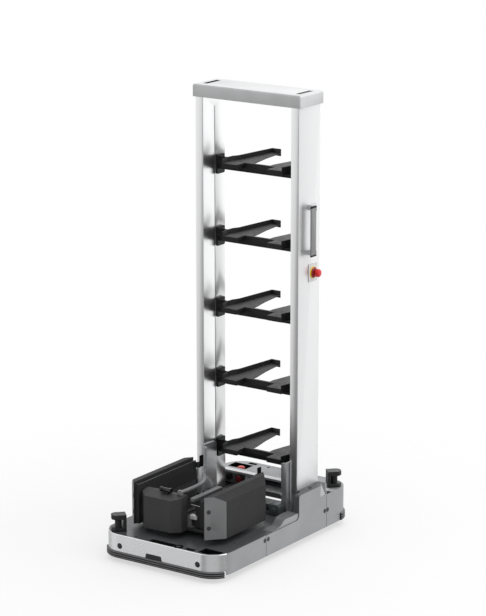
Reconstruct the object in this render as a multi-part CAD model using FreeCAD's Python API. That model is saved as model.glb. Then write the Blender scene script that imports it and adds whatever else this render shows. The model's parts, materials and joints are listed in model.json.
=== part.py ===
import FreeCAD
import Part
import math
import os

# Tote-carrying mobile robot: a low wheeled base, a two-column mast with five storage trays
# behind it, and a rotating picker with telescopic forks on a lift carriage in front of it.
# Millimetres. X points to the robot's right, Y to its rear, Z up from the floor.
# Sizes are measured from the middle of the base; the whole model is moved along Y on export,
# so that its origin is under the middle of the finished outline.

V = FreeCAD.Vector

# Fits and sheet metal
running = 0.05
face_gap = 0.3
sheet = 3.0
skin = 4.0

# Base outline
base_width = 740.0
base_length = 1208.0
base_corner = 116.0
skirt_bottom = 35.0
front_deck_top = 146.0
rear_deck_top = 210.5
wall_top = 273.5
wall_width = 30.0
wall_front = 104.0
wall_corner = 14.0
wall_foot = 26.0
front_seam = -193.0
corner_seam_length = 77.0
rear_seam = 360.0
rear_deck_length = 178.0
cover_bottom = 57.0
edge_bevel = 2.5

# Bumpers
bumper_depth = 9.0
bumper_inset = 3.0
front_bumper_bottom = 23.0
front_bumper_top = 56.5
front_bumper_lobes = 3
front_bumper_turn = 62.0
rear_bumper_lobes = 2
rear_bumper_top = 75.0

# Front sensors and openings of the front deck
panel_screw_radius = 7.5
sensor_inset = 130.0
sensor_z = 87.0
sensor_radius = 15.0
window_centre = -29.0
window_width = 92.0
window_height = 25.0
slot_width = 143.0
slot_depth = 36.0
slot_setback = 26.0
slot_x = 8.0
port_x = 107.0
port_radius = 22.0
small_slot_inset = 183.0
pocket_inset = 85.0
pocket_setback = 50.0
pocket_width = 108.0
pocket_corner_cut = 50.0
pocket_length = 66.0
deck_screw_radius = 7.0

# Chassis
rail_inset = 148.0
rail_width = 40.0
rail_height = 40.0
rail_front_gap = 92.0
rail_rear_gap = 14.0
cross_member = 24.0
corner_room = 12.0
rear_rail_top = 131.0
shelf_height = 143.0
caster_inset = 100.0
caster_front_setback = 174.0
caster_rear_setback = 124.0
caster_radius = 37.5
caster_width = 26.0
caster_trail = 28.0
caster_axle = 5.0
kingpin_radius = 8.0
battery_width = 300.0
battery_length = 320.0
battery_height = 92.0
battery_gap = 50.0
battery_floor = 41.0
controller_length = 120.0
controller_height = 70.0

# Drive wheels
wheel_radius = 70.0
wheel_width = 36.0
wheel_inset = 79.0
wheel_y = 242.0
wheel_shaft = 12.0
motor_length = 100.0
motor_saddle = 22.0

# Mast
upright_inset = 101.7
upright_width = 46.9
upright_front = 165.0
upright_depth = 195.0
upright_wall = 4.0
mast_top = 2254.0
cap_overhang = 13.1
cap_front = 156.0
cap_depth = 215.5
cap_height = 63.0
cap_bevel = 7.0
guide_slot_y = 268.0
guide_slot_width = 4.0
rail_y_width = 14.0
rail_thickness = 12.0
block_height = 60.0

# Storage trays
tray_count = 5
tray_pitch = 378.4
tray_seat_1 = 402.0
tray_sheet = 4.0
beam_front = 285.0
beam_height = 48.0
beam_depth = 15.0
lip_height = 20.0
seat_skirt = 22.0
tray_front = 212.0
tray_rear = 607.0
plate_front = 277.0
plate_depth = 66.0
plate_height = 100.0
plate_thickness = 10.0

# Handle and stop button on the right upright
handle_y = 239.5
handle_bottom = 1495.0
handle_top = 1753.0
handle_width = 45.0
handle_stand = 36.0
handle_thickness = 9.0
handle_bracket = 26.0
handle_bracket_reach = 60.0
stop_y = 296.0
stop_z = 1398.0
stop_plate_width = 79.0
stop_plate_height = 93.0
stop_ring_radius = 29.5
stop_cap_radius = 21.0
stop_stem_radius = 8.0
stop_travel = 5.0

# Controls at the rear deck
pit_inset = 93.0
pit_setback = 94.0
pit_width = 116.0
pit_length = 74.0
pit_depth = 28.0
deck_stop_inset = 102.0
deck_stop_setback = 101.0
shelf_inset = 180.0
knob_inset = 80.0
knob_z = 171.0
knob_radius = 19.0
knob_stem_radius = 5.0
reset_inset = 146.0
reset_radius = 19.0

# Scanners
scanner_front_inset = 80.0
scanner_front_setback = 56.0
scanner_rear_inset = 48.0
scanner_rear_setback = 99.0
scanner_width = 60.0
scanner_front = 35.0
scanner_back = 39.0
scanner_plate = 15.0
scanner_height = 86.0
scanner_base = 18.0
scanner_head = 24.0

# Lift carriage
column_width = 34.3
column_front = 140.0
column_top = 420.0
column_foot = 172.0
column_sheet = 5.0
platform_bottom = 152.0
platform_height = 20.0
stem_half_width = 120.0
cross_rear = 205.0
ring_inner = 90.0
ring_outer = 132.0
lift_motor_inset = 18.0
lift_motor_y = 105.0
lift_motor_width = 92.0
lift_motor_depth = 54.0
lift_motor_height = 60.0

# Picker
turn_y = -256.0
picker_bottom = 181.5
picker_front = -513.0
picker_rear = 0.0
arm_inset = 16.0
arm_width = 74.0
arm_top = 402.0
arm_flat = 32.0
arm_bevel = 29.0
arm_front_taper = 85.0
arm_wall = 3.0
end_cap_thickness = 5.0
fork_room = 18.0
panel_thickness = 8.0
panel_front = -489.0
panel_top = 388.0
fork_bottom = 228.0
fork_top = 285.0
post_inset = 19.0
post_top = 413.0
bed_front = -430.0
bed_thickness = 15.0
nose_left_inset = 15.0
nose_right_inset = 144.0
nose_front = -523.0
nose_top = 365.0
nose_corner = 40.0
nose_slope = 15.0
nose_wall = 3.0
duct_inset = 100.0
duct_front = -455.0
duct_rear = -212.0
duct_width = 30.0
duct_top = 360.0
duct_height = 16.0

# Telescopic forks
finger_pivot_z = 245.0
finger_length = 39.0
finger_width = 14.0
finger_pin = 3.0
finger_hub = 4.0

# Hose from the nose to the carriage: hand-set route, cut where it leaves the picker's circle
hose_diameter = 18.0
hose_height = 12.0
hose_split_radius = 350.0

# Worked-out places
half_width = base_width / 2
half_length = base_length / 2
corner_seam = corner_seam_length - half_length
rear_deck_front = half_length - rear_deck_length
panel_screws_yz = [
    (front_seam - 12.0, 122.0), (front_seam + 18.0, 122.0), (rear_seam - 17.0, 127.0), (rear_seam + 10.0, 127.0),
]
sensor_x = half_width - sensor_inset
slot_y = slot_setback - half_length
small_slot_x = half_width - small_slot_inset
pocket_x = half_width - pocket_inset
pocket_y = pocket_setback - half_length
rail_inner = half_width - rail_inset
rail_outer = rail_inner + rail_width
rail_front = rail_front_gap - half_length
rail_rear = half_length - rail_rear_gap
rear_step = rear_deck_front - 8.0
caster_x = half_width - caster_inset
caster_front_y = caster_front_setback - half_length
caster_rear_y = half_length - caster_rear_setback
battery_y = caster_front_y + battery_gap + battery_length / 2
wheel_x = half_width - wheel_inset
upright_inner = half_width - upright_inset
pit_x = pit_inset - half_width
pit_y = half_length - pit_setback
deck_stop_x = deck_stop_inset - half_width
deck_stop_y = half_length - deck_stop_setback
shelf_x = shelf_inset - half_width
knob_x = knob_inset - half_width
reset_x = reset_inset - half_width
scanner_front_x = scanner_front_inset - half_width
scanner_front_y = scanner_front_setback - half_length
scanner_rear_x = half_width - scanner_rear_inset
scanner_rear_y = half_length - scanner_rear_setback
column_inner = upright_inner - column_width
lift_motor_x = column_inner - lift_motor_inset
arm_inner = column_inner - arm_inset
arm_outer = arm_inner + arm_width
panel_inner = arm_inner - fork_room
post_x = panel_inner - post_inset
nose_left = nose_left_inset - panel_inner
nose_right = panel_inner - nose_right_inset
duct_x = panel_inner - duct_inset
upright_outer = upright_inner + upright_width
cap_half_width = upright_outer + cap_overhang
upright_rear = upright_front + upright_depth
chassis_top = front_deck_top - skin
rail_bottom = chassis_top - rail_height
caster_plate_bottom = rail_bottom - skin
platform_top = platform_bottom + platform_height
bed_top = picker_bottom + bed_thickness
tray_outer_points = [
    (upright_inner - 83.3, tray_front),
    (upright_inner - 71.3, 273.0),
    (upright_inner - 74.3, 318.0),
    (upright_inner - 91.3, 354.0),
    (upright_inner - 122.3, tray_rear),
]
tray_inner = upright_inner - 174.3
tray_end_inner = upright_inner - 178.3
hose_points = [
    (nose_right - 29.0, bed_front - 14.0, nose_top + hose_height),
    (nose_right - 19.0, -330.0, nose_top + hose_height),
    (nose_right - 61.0, -190.0, 366.0),
    (40.0 - column_inner, 50.0, 314.0),
    (-14.0 - column_inner, 146.0, 296.0),
]
front_reach = half_length + bumper_depth
rear_reach = tray_rear + tray_sheet
overall_rear = max(rear_reach, half_length + bumper_depth)
shift_y = (front_reach - overall_rear) / 2


def box(x0, x1, y0, y1, z0, z1):
    return Part.makeBox(x1 - x0, y1 - y0, z1 - z0, V(x0, y0, z0))


def cylinder(x, y, z, axis, radius, length):
    return Part.makeCylinder(radius, length, V(x, y, z), axis)


def join(shapes):
    return shapes[0].multiFuse(shapes[1:]).removeSplitter()


def mirrored(shape):
    return shape.mirror(V(0, 0, 0), V(1, 0, 0))


def pair(shape):
    return [shape, mirrored(shape)]


def bevelled(points):
    """The same closed outline with a straight bevel where a point has a third value."""
    cut = []
    count = len(points)
    for i, point in enumerate(points):
        size = point[2] if len(point) > 2 else 0.0
        if size <= 0:
            cut.append((point[0], point[1]))
            continue
        for other in (points[i - 1], points[(i + 1) % count]):
            length = math.hypot(other[0] - point[0], other[1] - point[1])
            share = size / length
            cut.append((point[0] + (other[0] - point[0]) * share, point[1] + (other[1] - point[1]) * share))
    return cut


def flat_wire(points):
    """Closed wire in the XY plane; a point with a third value gets a corner of that radius."""
    corners = []
    count = len(points)
    for i, point in enumerate(points):
        here = V(point[0], point[1], 0)
        radius = point[2] if len(point) > 2 else 0.0
        if radius <= 0:
            corners.append((here, here, here))
            continue
        before = V(points[i - 1][0], points[i - 1][1], 0) - here
        after = V(points[(i + 1) % count][0], points[(i + 1) % count][1], 0) - here
        before.normalize()
        after.normalize()
        half = before.getAngle(after) / 2
        reach = radius / math.tan(half)
        middle = before + after
        middle.normalize()
        centre = here + middle * (radius / math.sin(half))
        corners.append((here + before * reach, centre - middle * radius, here + after * reach))
    edges = []
    for i, (start, middle, end) in enumerate(corners):
        if start.distanceToPoint(end) > 1e-6:
            edges.append(Part.Arc(start, middle, end).toShape())
        following = corners[(i + 1) % count][0]
        if end.distanceToPoint(following) > 1e-6:
            edges.append(Part.makeLine(end, following))
    return Part.Wire(edges)


def prism(plane, points, start, end):
    """Extrude an outline: 'xy' along Z, 'yz' along X, 'xz' along Y, from start to end."""
    solid = Part.Face(flat_wire(points)).extrude(V(0, 0, end - start))
    if plane == "xy":
        solid.translate(V(0, 0, start))
    elif plane == "yz":
        solid.transformShape(FreeCAD.Matrix(0, 0, 1, start, 1, 0, 0, 0, 0, 1, 0, 0, 0, 0, 0, 1), True)
    else:
        solid.transformShape(FreeCAD.Matrix(1, 0, 0, 0, 0, 0, -1, end, 0, 1, 0, 0, 0, 0, 0, 1), True)
    return solid


def ribbon(points, thickness, z0, z1, ends=(0.0, 0.0)):
    """Sheet wall that stands along an open line, with its thickness to the line's left."""
    normals = []
    for (ax, ay), (bx, by) in zip(points, points[1:]):
        length = math.hypot(bx - ax, by - ay)
        normals.append(V(-(by - ay) / length, (bx - ax) / length, 0))
    inner = []
    for i, (x, y) in enumerate(points):
        first = normals[max(i - 1, 0)]
        second = normals[min(i, len(normals) - 1)]
        middle = first + second
        middle.normalize()
        inner.append(V(x, y, 0) + middle * (thickness / middle.dot(first)))
    outline = [(x, y) for x, y in points] + [(p.x, p.y) for p in reversed(inner)]
    return prism("xy", outline, z0, z1)


def base_outline(offset):
    """Plan of the base: a rectangle with round corners, grown or shrunk by offset."""
    x = half_width + offset
    y = half_length + offset
    r = base_corner + offset
    return [(-x, -y, r), (x, -y, r), (x, y, r), (-x, y, r)]


def base_ring(outer, inner, z0, z1, y0, y1):
    """Part of the base's skin between two heights and two stations along Y."""
    ring = prism("xy", base_outline(outer), z0, z1).cut(prism("xy", base_outline(inner), z0 - 1, z1 + 1))
    return ring.common(box(-base_width, base_width, y0, y1, z0, z1))


def edges_at(shape, test):
    return [edge for edge in shape.Edges if test(edge.BoundBox)]


def hose(points, diameter):
    """Tube along straight runs joined by tangent arcs, each as wide as its runs allow."""
    vectors = [V(*p) for p in points]
    edges = []
    last = vectors[0]
    for before, here, after in zip(vectors, vectors[1:], vectors[2:]):
        back = before - here
        ahead = after - here
        shorter = min(back.Length, ahead.Length)
        back.normalize()
        ahead.normalize()
        reach = 0.45 * shorter
        half = back.getAngle(ahead) / 2
        radius = reach * math.tan(half)
        middle = back + ahead
        middle.normalize()
        centre = here + middle * (radius / math.sin(half))
        start = here + back * reach
        end = here + ahead * reach
        print("hose arc radius %.0f mm" % radius)
        edges.append(Part.makeLine(last, start))
        edges.append(Part.Arc(start, centre - middle * radius, end).toShape())
        last = end
    edges.append(Part.makeLine(last, vectors[-1]))
    path = Part.Wire(edges)
    direction = vectors[1] - vectors[0]
    section = Part.Wire(Part.makeCircle(diameter / 2, vectors[0], direction))
    tube = path.makePipeShell([section], True, False)
    expected = math.pi * diameter ** 2 / 4 * path.Length
    print("hose length %.0f mm, volume ratio %.4f" % (path.Length, tube.Volume / expected))
    return tube


def hose_parts():
    """The whole hose in two: the length that turns with the picker and the fixed end."""
    whole = hose(hose_points, hose_diameter)
    whole = whole.common(box(-base_width, base_width, -base_length, column_front, 0, mast_top))
    inside = cylinder(0, turn_y, 0, V(0, 0, 1), hose_split_radius - face_gap / 2, mast_top)
    outside = cylinder(0, turn_y, 0, V(0, 0, 1), hose_split_radius + face_gap / 2, mast_top)
    return whole.common(inside), whole.cut(outside)


def save(name, shapes):
    solids = shapes if isinstance(shapes, list) else [shapes]
    shape = solids[0] if len(solids) == 1 else Part.makeCompound(solids)
    moved = shape.copy()
    moved.translate(V(0, shift_y, 0))
    for solid in moved.Solids:
        if not solid.isValid():
            print("not valid: " + name)
    moved.exportStep("parts/" + name + ".step")


# Base skins

def front_cover():
    """Silver wrap of the front: sensor holes, a window notch and a bevelled top edge."""
    shell = base_ring(0, -skin, cover_bottom, front_deck_top, -half_length, corner_seam)
    rim = edges_at(shell, lambda b: b.ZMin > front_deck_top - 0.01)
    outer_rim = [e for e in rim if e.BoundBox.YMin < -half_length + 0.01 or e.BoundBox.XMax > half_width - 12
                 or e.BoundBox.XMin < -half_width + 12]
    outer_rim = [e for e in outer_rim if e.Length > skin * 2]
    outer_rim = [e for e in outer_rim if on_outline(e)]
    shell = shell.makeChamfer(edge_bevel, outer_rim)
    for x in (-sensor_x, sensor_x):
        shell = shell.cut(cylinder(x, -half_length - 1, sensor_z, V(0, 1, 0), sensor_radius, skin + 2))
    return shell.cut(window_notch(0.0, -half_length - 1, -half_length + skin + 1))


def on_outline(edge):
    """True when an edge's middle lies on the outer outline of the base."""
    middle = edge.valueAt((edge.FirstParameter + edge.LastParameter) / 2)
    x = max(abs(middle.x) - (half_width - base_corner), 0)
    y = max(abs(middle.y) - (half_length - base_corner), 0)
    return abs(math.hypot(x, y) - base_corner) < 0.05


def window_notch(shrink, y0, y1):
    half = window_width / 2 - shrink
    top = cover_bottom + window_height - shrink
    outline = [
        (window_centre - half - 6, cover_bottom - 1 + shrink),
        (window_centre + half + 6, cover_bottom - 1 + shrink),
        (window_centre + half, top, 4.0),
        (window_centre - half, top, 4.0),
    ]
    return prism("xz", bevelled(outline), y0, y1)


def front_sensors():
    """Two round sensor lenses and the wide camera window, each seated in its opening."""
    lenses = []
    for x in (-sensor_x, sensor_x):
        lens = cylinder(x, -half_length - 1.5, sensor_z, V(0, 1, 0), sensor_radius - running, skin + 6)
        front = edges_at(lens, lambda b: b.YMax < -half_length - 1.4)
        lenses.append(lens.makeChamfer(1.2, front))
    window = window_notch(running, -half_length + 1, -half_length + skin + 6)
    window = window.cut(box(-base_width, base_width, -half_length, 0, 0, cover_bottom + running))
    return lenses + [window]


def lobed_section(origin, outward, z0, z1, lobes):
    """Bumper section: a flat back and a front made of equal tapered ribs."""
    pitch = (z1 - z0) / lobes
    back = origin - outward * bumper_inset
    root = origin + outward * (bumper_depth - pitch * 0.35)
    up = V(0, 0, 1)
    edges = [Part.makeLine(back + up * z1, back + up * z0), Part.makeLine(back + up * z0, root + up * z0)]
    for i in range(lobes):
        low = z0 + i * pitch
        crest = origin + outward * bumper_depth
        rib = [root + up * low, crest + up * (low + pitch * 0.3), crest + up * (low + pitch * 0.7),
               root + up * (low + pitch)]
        edges += [Part.makeLine(a, b) for a, b in zip(rib, rib[1:])]
    edges.append(Part.makeLine(root + up * z1, back + up * z1))
    return Part.Wire(edges)


def bumper(front, turn, z0, z1, lobes):
    """Ribbed rubber bumper swept round one end of the base; turn is how far it wraps."""
    side = -1.0 if front else 1.0
    y = half_length - base_corner
    x = half_width - base_corner
    start = math.radians(90 - turn)
    spots = []
    for angle in (start, (start + math.pi / 2) / 2, math.pi / 2):
        spots.append(V(x + base_corner * math.cos(angle), side * (y + base_corner * math.sin(angle)), 0))
    left = [V(-p.x, p.y, 0) for p in reversed(spots)]
    path = Part.Wire([
        Part.Arc(*spots).toShape(),
        Part.makeLine(spots[2], left[0]),
        Part.Arc(*left).toShape(),
    ])
    outward = V(math.cos(start), side * math.sin(start), 0)
    section = lobed_section(spots[0], outward, z0, z1, lobes)
    return path.makePipeShell([section], True, False)


def screw_holes():
    """Holes for all screws of the right side's skins."""
    x = half_width - skin - 1
    return join([cylinder(x, y, z, V(1, 0, 0), panel_screw_radius + running, skin + 2) for y, z in panel_screws_yz])


def side_panel_front():
    y1 = front_seam - face_gap
    panel = base_ring(0, -skin, skirt_bottom, front_deck_top, corner_seam + face_gap, y1)
    panel = panel.common(box(0, base_width, -base_length, base_length, 0, base_width))
    return panel.cut(screw_holes())


def wall_outline(inset):
    """Side view of the raised wall: a round shoulder at the front and a filleted foot."""
    front = wall_front + inset
    top = wall_top - inset
    return [
        (rear_seam - face_gap + (1 if inset else 0), skirt_bottom if not inset else front_deck_top - skin),
        (rear_seam - face_gap + (1 if inset else 0), top),
        (front, top, wall_corner - inset),
        (front, front_deck_top - (skin if inset else 0), 0.0 if inset else wall_foot),
    ]


def side_panel_middle():
    """Middle side panel: its outer skin rises into a hollow wall beside the mast."""
    outer = wall_outline(0.0)
    skin_outline = outer[:3] + [(wall_front, front_deck_top, wall_foot)]
    skin_outline += [(front_seam, front_deck_top), (front_seam, skirt_bottom)]
    plate = prism("yz", skin_outline, half_width - skin, half_width)
    inner_x = half_width - wall_width
    raised = outer[1:3] + [(wall_front, front_deck_top), (rear_seam - face_gap, front_deck_top)]
    shell = prism("yz", raised, inner_x, half_width)
    ledge = box(upright_outer + face_gap, inner_x, upright_front, rear_seam - face_gap, front_deck_top, wall_top)
    shell = shell.fuse(ledge)
    hollow = [
        (rear_seam + 1, wall_top - skin),
        (wall_front + skin, wall_top - skin, wall_corner - skin),
        (wall_front + skin, front_deck_top - 1),
        (rear_seam + 1, front_deck_top - 1),
    ]
    shell = shell.cut(prism("yz", hollow, inner_x + skin, half_width - skin))
    wheel_room = box(upright_outer, half_width - skin, upright_front + skin, rear_seam + 1, 0, wall_top - skin)
    panel = plate.fuse(shell).cut(wheel_room).removeSplitter()
    panel = panel.cut(scoop())
    panel = panel.cut(screw_holes())
    ledge_screw = cylinder(half_width - 28, 245, wall_top - skin - 1, V(0, 0, 1), 6.0, skin + 2)
    return panel.cut(ledge_screw)


def scoop():
    """Slanted relief at the wall's outer rear top corner, which clears the scanner's view."""
    rear = rear_seam + 1
    outline = [(rear - 62, wall_top + 1), (rear - 31, rear_deck_top + 2), (rear - 14, rear_deck_top + 2),
               (rear, rear_deck_top + 30), (rear, wall_top + 1)]
    return prism("yz", outline, half_width - 1.8, half_width + 1)


def rear_cover():
    """Skin of the rear module: both sides and the round rear corners in one wrap."""
    shell = base_ring(0, -skin, skirt_bottom, rear_deck_top, rear_seam, half_length)
    behind = box(-base_width, base_width, half_length - base_corner, base_length, 0, rear_bumper_top)
    shell = shell.cut(behind)
    rim = [e for e in edges_at(shell, lambda b: b.ZMin > rear_deck_top - 0.01) if on_outline(e)]
    shell = shell.makeChamfer(edge_bevel, [e for e in rim if e.Length > skin * 2])
    return shell.cut(screw_holes()).cut(mirrored(screw_holes()))


def front_deck():
    """Deck plate with the sensor slot, the port ring, the camera pocket and screw holes."""
    z0 = chassis_top
    z1 = front_deck_top
    plate = prism("xy", base_outline(-skin - running), z0, z1)
    plate = plate.common(box(-base_width, base_width, -base_length, 300, z0, z1))
    for side in (-1, 1):
        x0, x1 = sorted((side * (upright_inner - 10), side * base_width))
        plate = plate.cut(box(x0, x1, wall_front, base_length, z0 - 1, z1 + 1))
    plate = plate.cut(slot(slot_x, slot_y, slot_width, slot_depth, z0 + 1, z1 + 1))
    plate = plate.cut(slot(small_slot_x, slot_y - 19, 36, 10, z0 + 1, z1 + 1))
    groove = cylinder(port_x, slot_y - 4, z1 - 1.5, V(0, 0, 1), port_radius, 3)
    groove = groove.cut(cylinder(port_x, slot_y - 4, z1 - 2, V(0, 0, 1), port_radius - 3, 4))
    plate = plate.cut(groove).cut(pocket(0, z0 - 1, z1 + 1))
    pan = pocket(0, z0 - 24, z0 + 0.5).cut(pocket(sheet, z0 - 21, z0 + 1))
    lens = cylinder(pocket_x, pocket_y, z0 - 22, V(0, 0, 1), 15, 14)
    plate = plate.fuse(pan).fuse(lens).removeSplitter()
    side_screw = half_width - 65
    for x, y in ((-154, slot_y - 5), (side_screw, caster_front_y + 54), (-side_screw, caster_front_y + 54)):
        plate = plate.cut(cylinder(x, y, z1 - 1.5, V(0, 0, 1), deck_screw_radius, 3))
    return plate.removeSplitter()


def slot(x, y, width, depth, z0, z1):
    return box(x - width / 2, x + width / 2, y - depth / 2, y + depth / 2, z0, z1)


def pocket(inset, z0, z1):
    """Camera pocket in the deck's corner, cut off along the round cover, shrunk by inset."""
    w = pocket_width / 2 - inset
    d = pocket_length / 2 - inset
    cut = pocket_corner_cut - inset / 2
    outline = [(-w, -d), (w - cut, -d), (w, -d + cut * 0.75), (w, d), (-w, d)]
    return prism("xy", [(pocket_x + x, pocket_y + y) for x, y in outline], z0, z1)


def deck_fairing():
    """Wedge beside the picker that carries the wall's foot down to the deck."""
    plateau = picker_bottom - 1.6
    inner = arm_outer + 6
    outer = half_width - skin - 1
    side = [
        (-134, front_deck_top),
        (wall_front - face_gap, front_deck_top),
        (wall_front - face_gap, plateau),
        (-22, plateau, 40.0),
        (-62, front_deck_top + 8, 30.0),
        (-134, front_deck_top + 1.5),
    ]
    wedge = prism("yz", side, inner, outer)
    plan = [
        (outer, -140), (outer, wall_front + 1), (inner, wall_front + 1),
        (inner, 30, 20.0), (inner + 18, -60, 30.0), (inner + 8, -140),
    ]
    return wedge.common(prism("xy", plan, front_deck_top - 1, plateau + 1))


def rear_deck():
    """Rear deck plate with a bevelled front lip, the stop button's pit and a service hatch."""
    z1 = rear_deck_top
    z0 = z1 - skin
    plate = prism("xy", base_outline(-skin - running), z0, z1)
    plate = plate.common(box(-base_width, base_width, rear_deck_front, base_length, z0, z1))
    side = [
        (rear_deck_front, z1 - 15),
        (rear_deck_front + skin, z1 - 15),
        (rear_deck_front + skin, z0),
        (rear_deck_front + 26, z0),
        (rear_deck_front + 26, z1),
        (rear_deck_front, z1 - 4),
    ]
    lip = prism("yz", side, -half_width + skin + 1, half_width - skin - 1)
    shave = [(rear_deck_front - 1, z1 - 4), (rear_deck_front + 26, z1), (rear_deck_front + 26, z1 + 2),
             (rear_deck_front - 1, z1 + 2)]
    plate = plate.fuse(lip).cut(prism("yz", shave, -base_width, base_width))
    pit = slot(pit_x, pit_y, pit_width, pit_length, z1 - pit_depth, z1 + 1)
    pan = slot(pit_x, pit_y, pit_width + 6, pit_length + 6, z1 - pit_depth - 3, z1 - 1)
    plate = plate.fuse(pan).cut(pit)
    plate = plate.cut(cylinder(deck_stop_x, deck_stop_y, z1 - pit_depth - 5, V(0, 0, 1),
                               stop_stem_radius + running, 8))
    plate = plate.cut(slot(sensor_inset - half_width, half_length - 30, 50, 26, z1 - 2, z1 + 1))
    for x, y in ((-136, half_length - 36), (136, half_length - 36), (20, rear_deck_front + 44)):
        plate = plate.cut(cylinder(x, y, z1 - 1.5, V(0, 0, 1), deck_screw_radius, 3))
    return plate.removeSplitter()


def control_shelf():
    """Bent sheet under the rear deck: an upright control panel and a shelf beside it."""
    y0 = rear_deck_front + skin + face_gap
    rear = half_length - base_corner
    side = half_width - skin - 1
    low = shelf_height - 4
    top = rear_deck_top - skin
    panel = box(-side, shelf_x, y0, y0 + sheet, low, top)
    cheek = box(shelf_x - sheet, shelf_x, y0, rear, low, top)
    for x in (knob_x, reset_x):
        panel = panel.cut(cylinder(x, y0 - 1, knob_z, V(0, 1, 0), knob_stem_radius + running, sheet + 2))
    shelf = box(shelf_x - sheet, side, y0 - skin, rear, shelf_height - sheet, shelf_height)
    edge = box(shelf_x - sheet, side, y0 - skin, y0 - skin + sheet, rear_rail_top + 1, shelf_height)
    return join([panel, cheek, shelf, edge])


# Chassis, wheels and what the base holds inside

def chassis():
    """Ladder frame: two rails, cross members, caster plates, mast feet and a battery tray."""
    pieces = []
    tray_side = battery_width / 2 + face_gap
    tray_front_y = battery_y - battery_length / 2 - 20
    for side in (-1, 1):
        pieces += chassis_side(side)
        x0, x1 = sorted((side * tray_side, side * (tray_side + sheet)))
        pieces.append(box(x0, x1, tray_front_y, upright_front + 5, battery_floor - sheet, chassis_top))
    for y0, y1, top in ((caster_front_y - 40, caster_front_y + 40, chassis_top), (-40, -20, chassis_top),
                        (upright_front - 5, upright_front + 25, chassis_top),
                        (rail_rear - cross_member, rail_rear, rear_rail_top)):
        pieces.append(box(-rail_inner, rail_inner, y0, y1, rail_bottom, top))
    pieces.append(box(-tray_side - sheet, tray_side + sheet, tray_front_y, upright_front + 5,
                      battery_floor - sheet, battery_floor))
    frame = join(pieces)
    for side in (-1, 1):
        for y in (caster_front_y, caster_rear_y):
            x = side * caster_x
            frame = frame.fuse(box(x - 36, x + 36, y - 36, y + 36, caster_plate_bottom, rail_bottom))
            frame = frame.cut(cylinder(x, y, caster_plate_bottom - 1, V(0, 0, 1), kingpin_radius + running, 40))
    return frame.removeSplitter()


def chassis_side(side):
    """One rail with its outriggers, the mast's feet and the posts under the rear deck."""
    def span(near, far, y0, y1, z0, z1):
        x0, x1 = sorted((side * near, side * far))
        return box(x0, x1, y0, y1, z0, z1)

    edge = half_width - skin - running
    pieces = [
        span(rail_inner, rail_outer, rail_front, rear_step, rail_bottom, chassis_top),
        span(rail_inner, rail_outer, rear_step, rail_rear, rail_bottom, rear_rail_top),
        span(rail_inner, edge, caster_front_y - 40, caster_front_y + 40, rail_bottom, chassis_top),
        span(rail_inner, edge, -120, -80, rail_bottom, chassis_top),
        span(rail_inner, half_width - corner_room, caster_rear_y - 40, caster_rear_y + 40, rail_bottom,
             rear_rail_top),
    ]
    for y0, y1 in ((upright_front, upright_front + 16), (upright_rear - 60, upright_rear - 2)):
        pieces.append(span(rail_inner, upright_outer, y0, y1, rail_bottom + 14, chassis_top))
        pieces.append(span(upright_inner - 8, upright_outer, y0, y1, chassis_top, front_deck_top))
    post_rear = rail_rear - 4
    for y0, y1, top in ((post_rear - cross_member, post_rear, rear_deck_top - skin),
                        (rear_deck_front + 16, rear_deck_front + 36, shelf_height - sheet)):
        pieces.append(span(rail_inner + 4, rail_inner + 30, y0, y1, rear_rail_top, top))
    return pieces


def battery():
    """Battery case with bevelled edges and a grip slot."""
    x = battery_width / 2
    top = battery_floor + battery_height
    case = prism("xz", bevelled([(-x, battery_floor, 8), (x, battery_floor, 8), (x, top, 8), (-x, top, 8)]),
                 battery_y - battery_length / 2, battery_y + battery_length / 2)
    grip = slot(0, battery_y + 110, 110, 30, top - 12, top + 1)
    return case.cut(grip)


def controller():
    """Control computer: a case with a row of cooling fins along its top."""
    x = battery_width / 2 - 20
    y0 = 10.0
    case = box(-x, x, y0, y0 + controller_length, battery_floor, battery_floor + controller_height)
    for i in range(9):
        left = -x + 14 + i * 28
        case = case.cut(box(left, left + 14, y0 - 1, y0 + controller_length + 1,
                            battery_floor + controller_height - 12, battery_floor + controller_height + 1))
    return case


def drive_motor():
    """Gearmotor slung under the rail by a flat saddle, with the shaft that carries the wheel."""
    x1 = wheel_x - wheel_width / 2 - face_gap
    under_rail = rail_bottom - face_gap
    body = cylinder(x1 - motor_length, wheel_y, wheel_radius, V(1, 0, 0), under_rail - wheel_radius, motor_length)
    saddle = box(rail_inner, rail_outer, wheel_y - motor_saddle, wheel_y + motor_saddle, wheel_radius, under_rail)
    shaft = cylinder(x1 - 4, wheel_y, wheel_radius, V(1, 0, 0), wheel_shaft - running,
                     wheel_width + 2 * face_gap + 5)
    return join([body, saddle, shaft])


def revolved(points, x, y, z, axis):
    """Turn an (along, radius) outline with bevelled corners about an axis through a point."""
    wire = flat_wire(bevelled(points))
    face = Part.Face(wire)
    solid = face.revolve(V(0, 0, 0), V(1, 0, 0), 360)
    turn = FreeCAD.Rotation(V(1, 0, 0), axis)
    solid.Placement = FreeCAD.Placement(V(x, y, z), turn)
    return solid


def drive_wheel(side):
    """Rubber-tyred wheel: bored hub, a dish on its outer face, and a crowned tyre."""
    w = wheel_width / 2
    r = wheel_radius
    outline = [
        (-w, wheel_shaft), (w, wheel_shaft), (w, 30), (w - 10, 34), (w - 10, r - 24), (w, r - 20),
        (w, r, 6.0), (-w, r, 6.0),
    ]
    return revolved(outline, side * wheel_x, wheel_y, wheel_radius, V(side, 0, 0))


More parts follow.
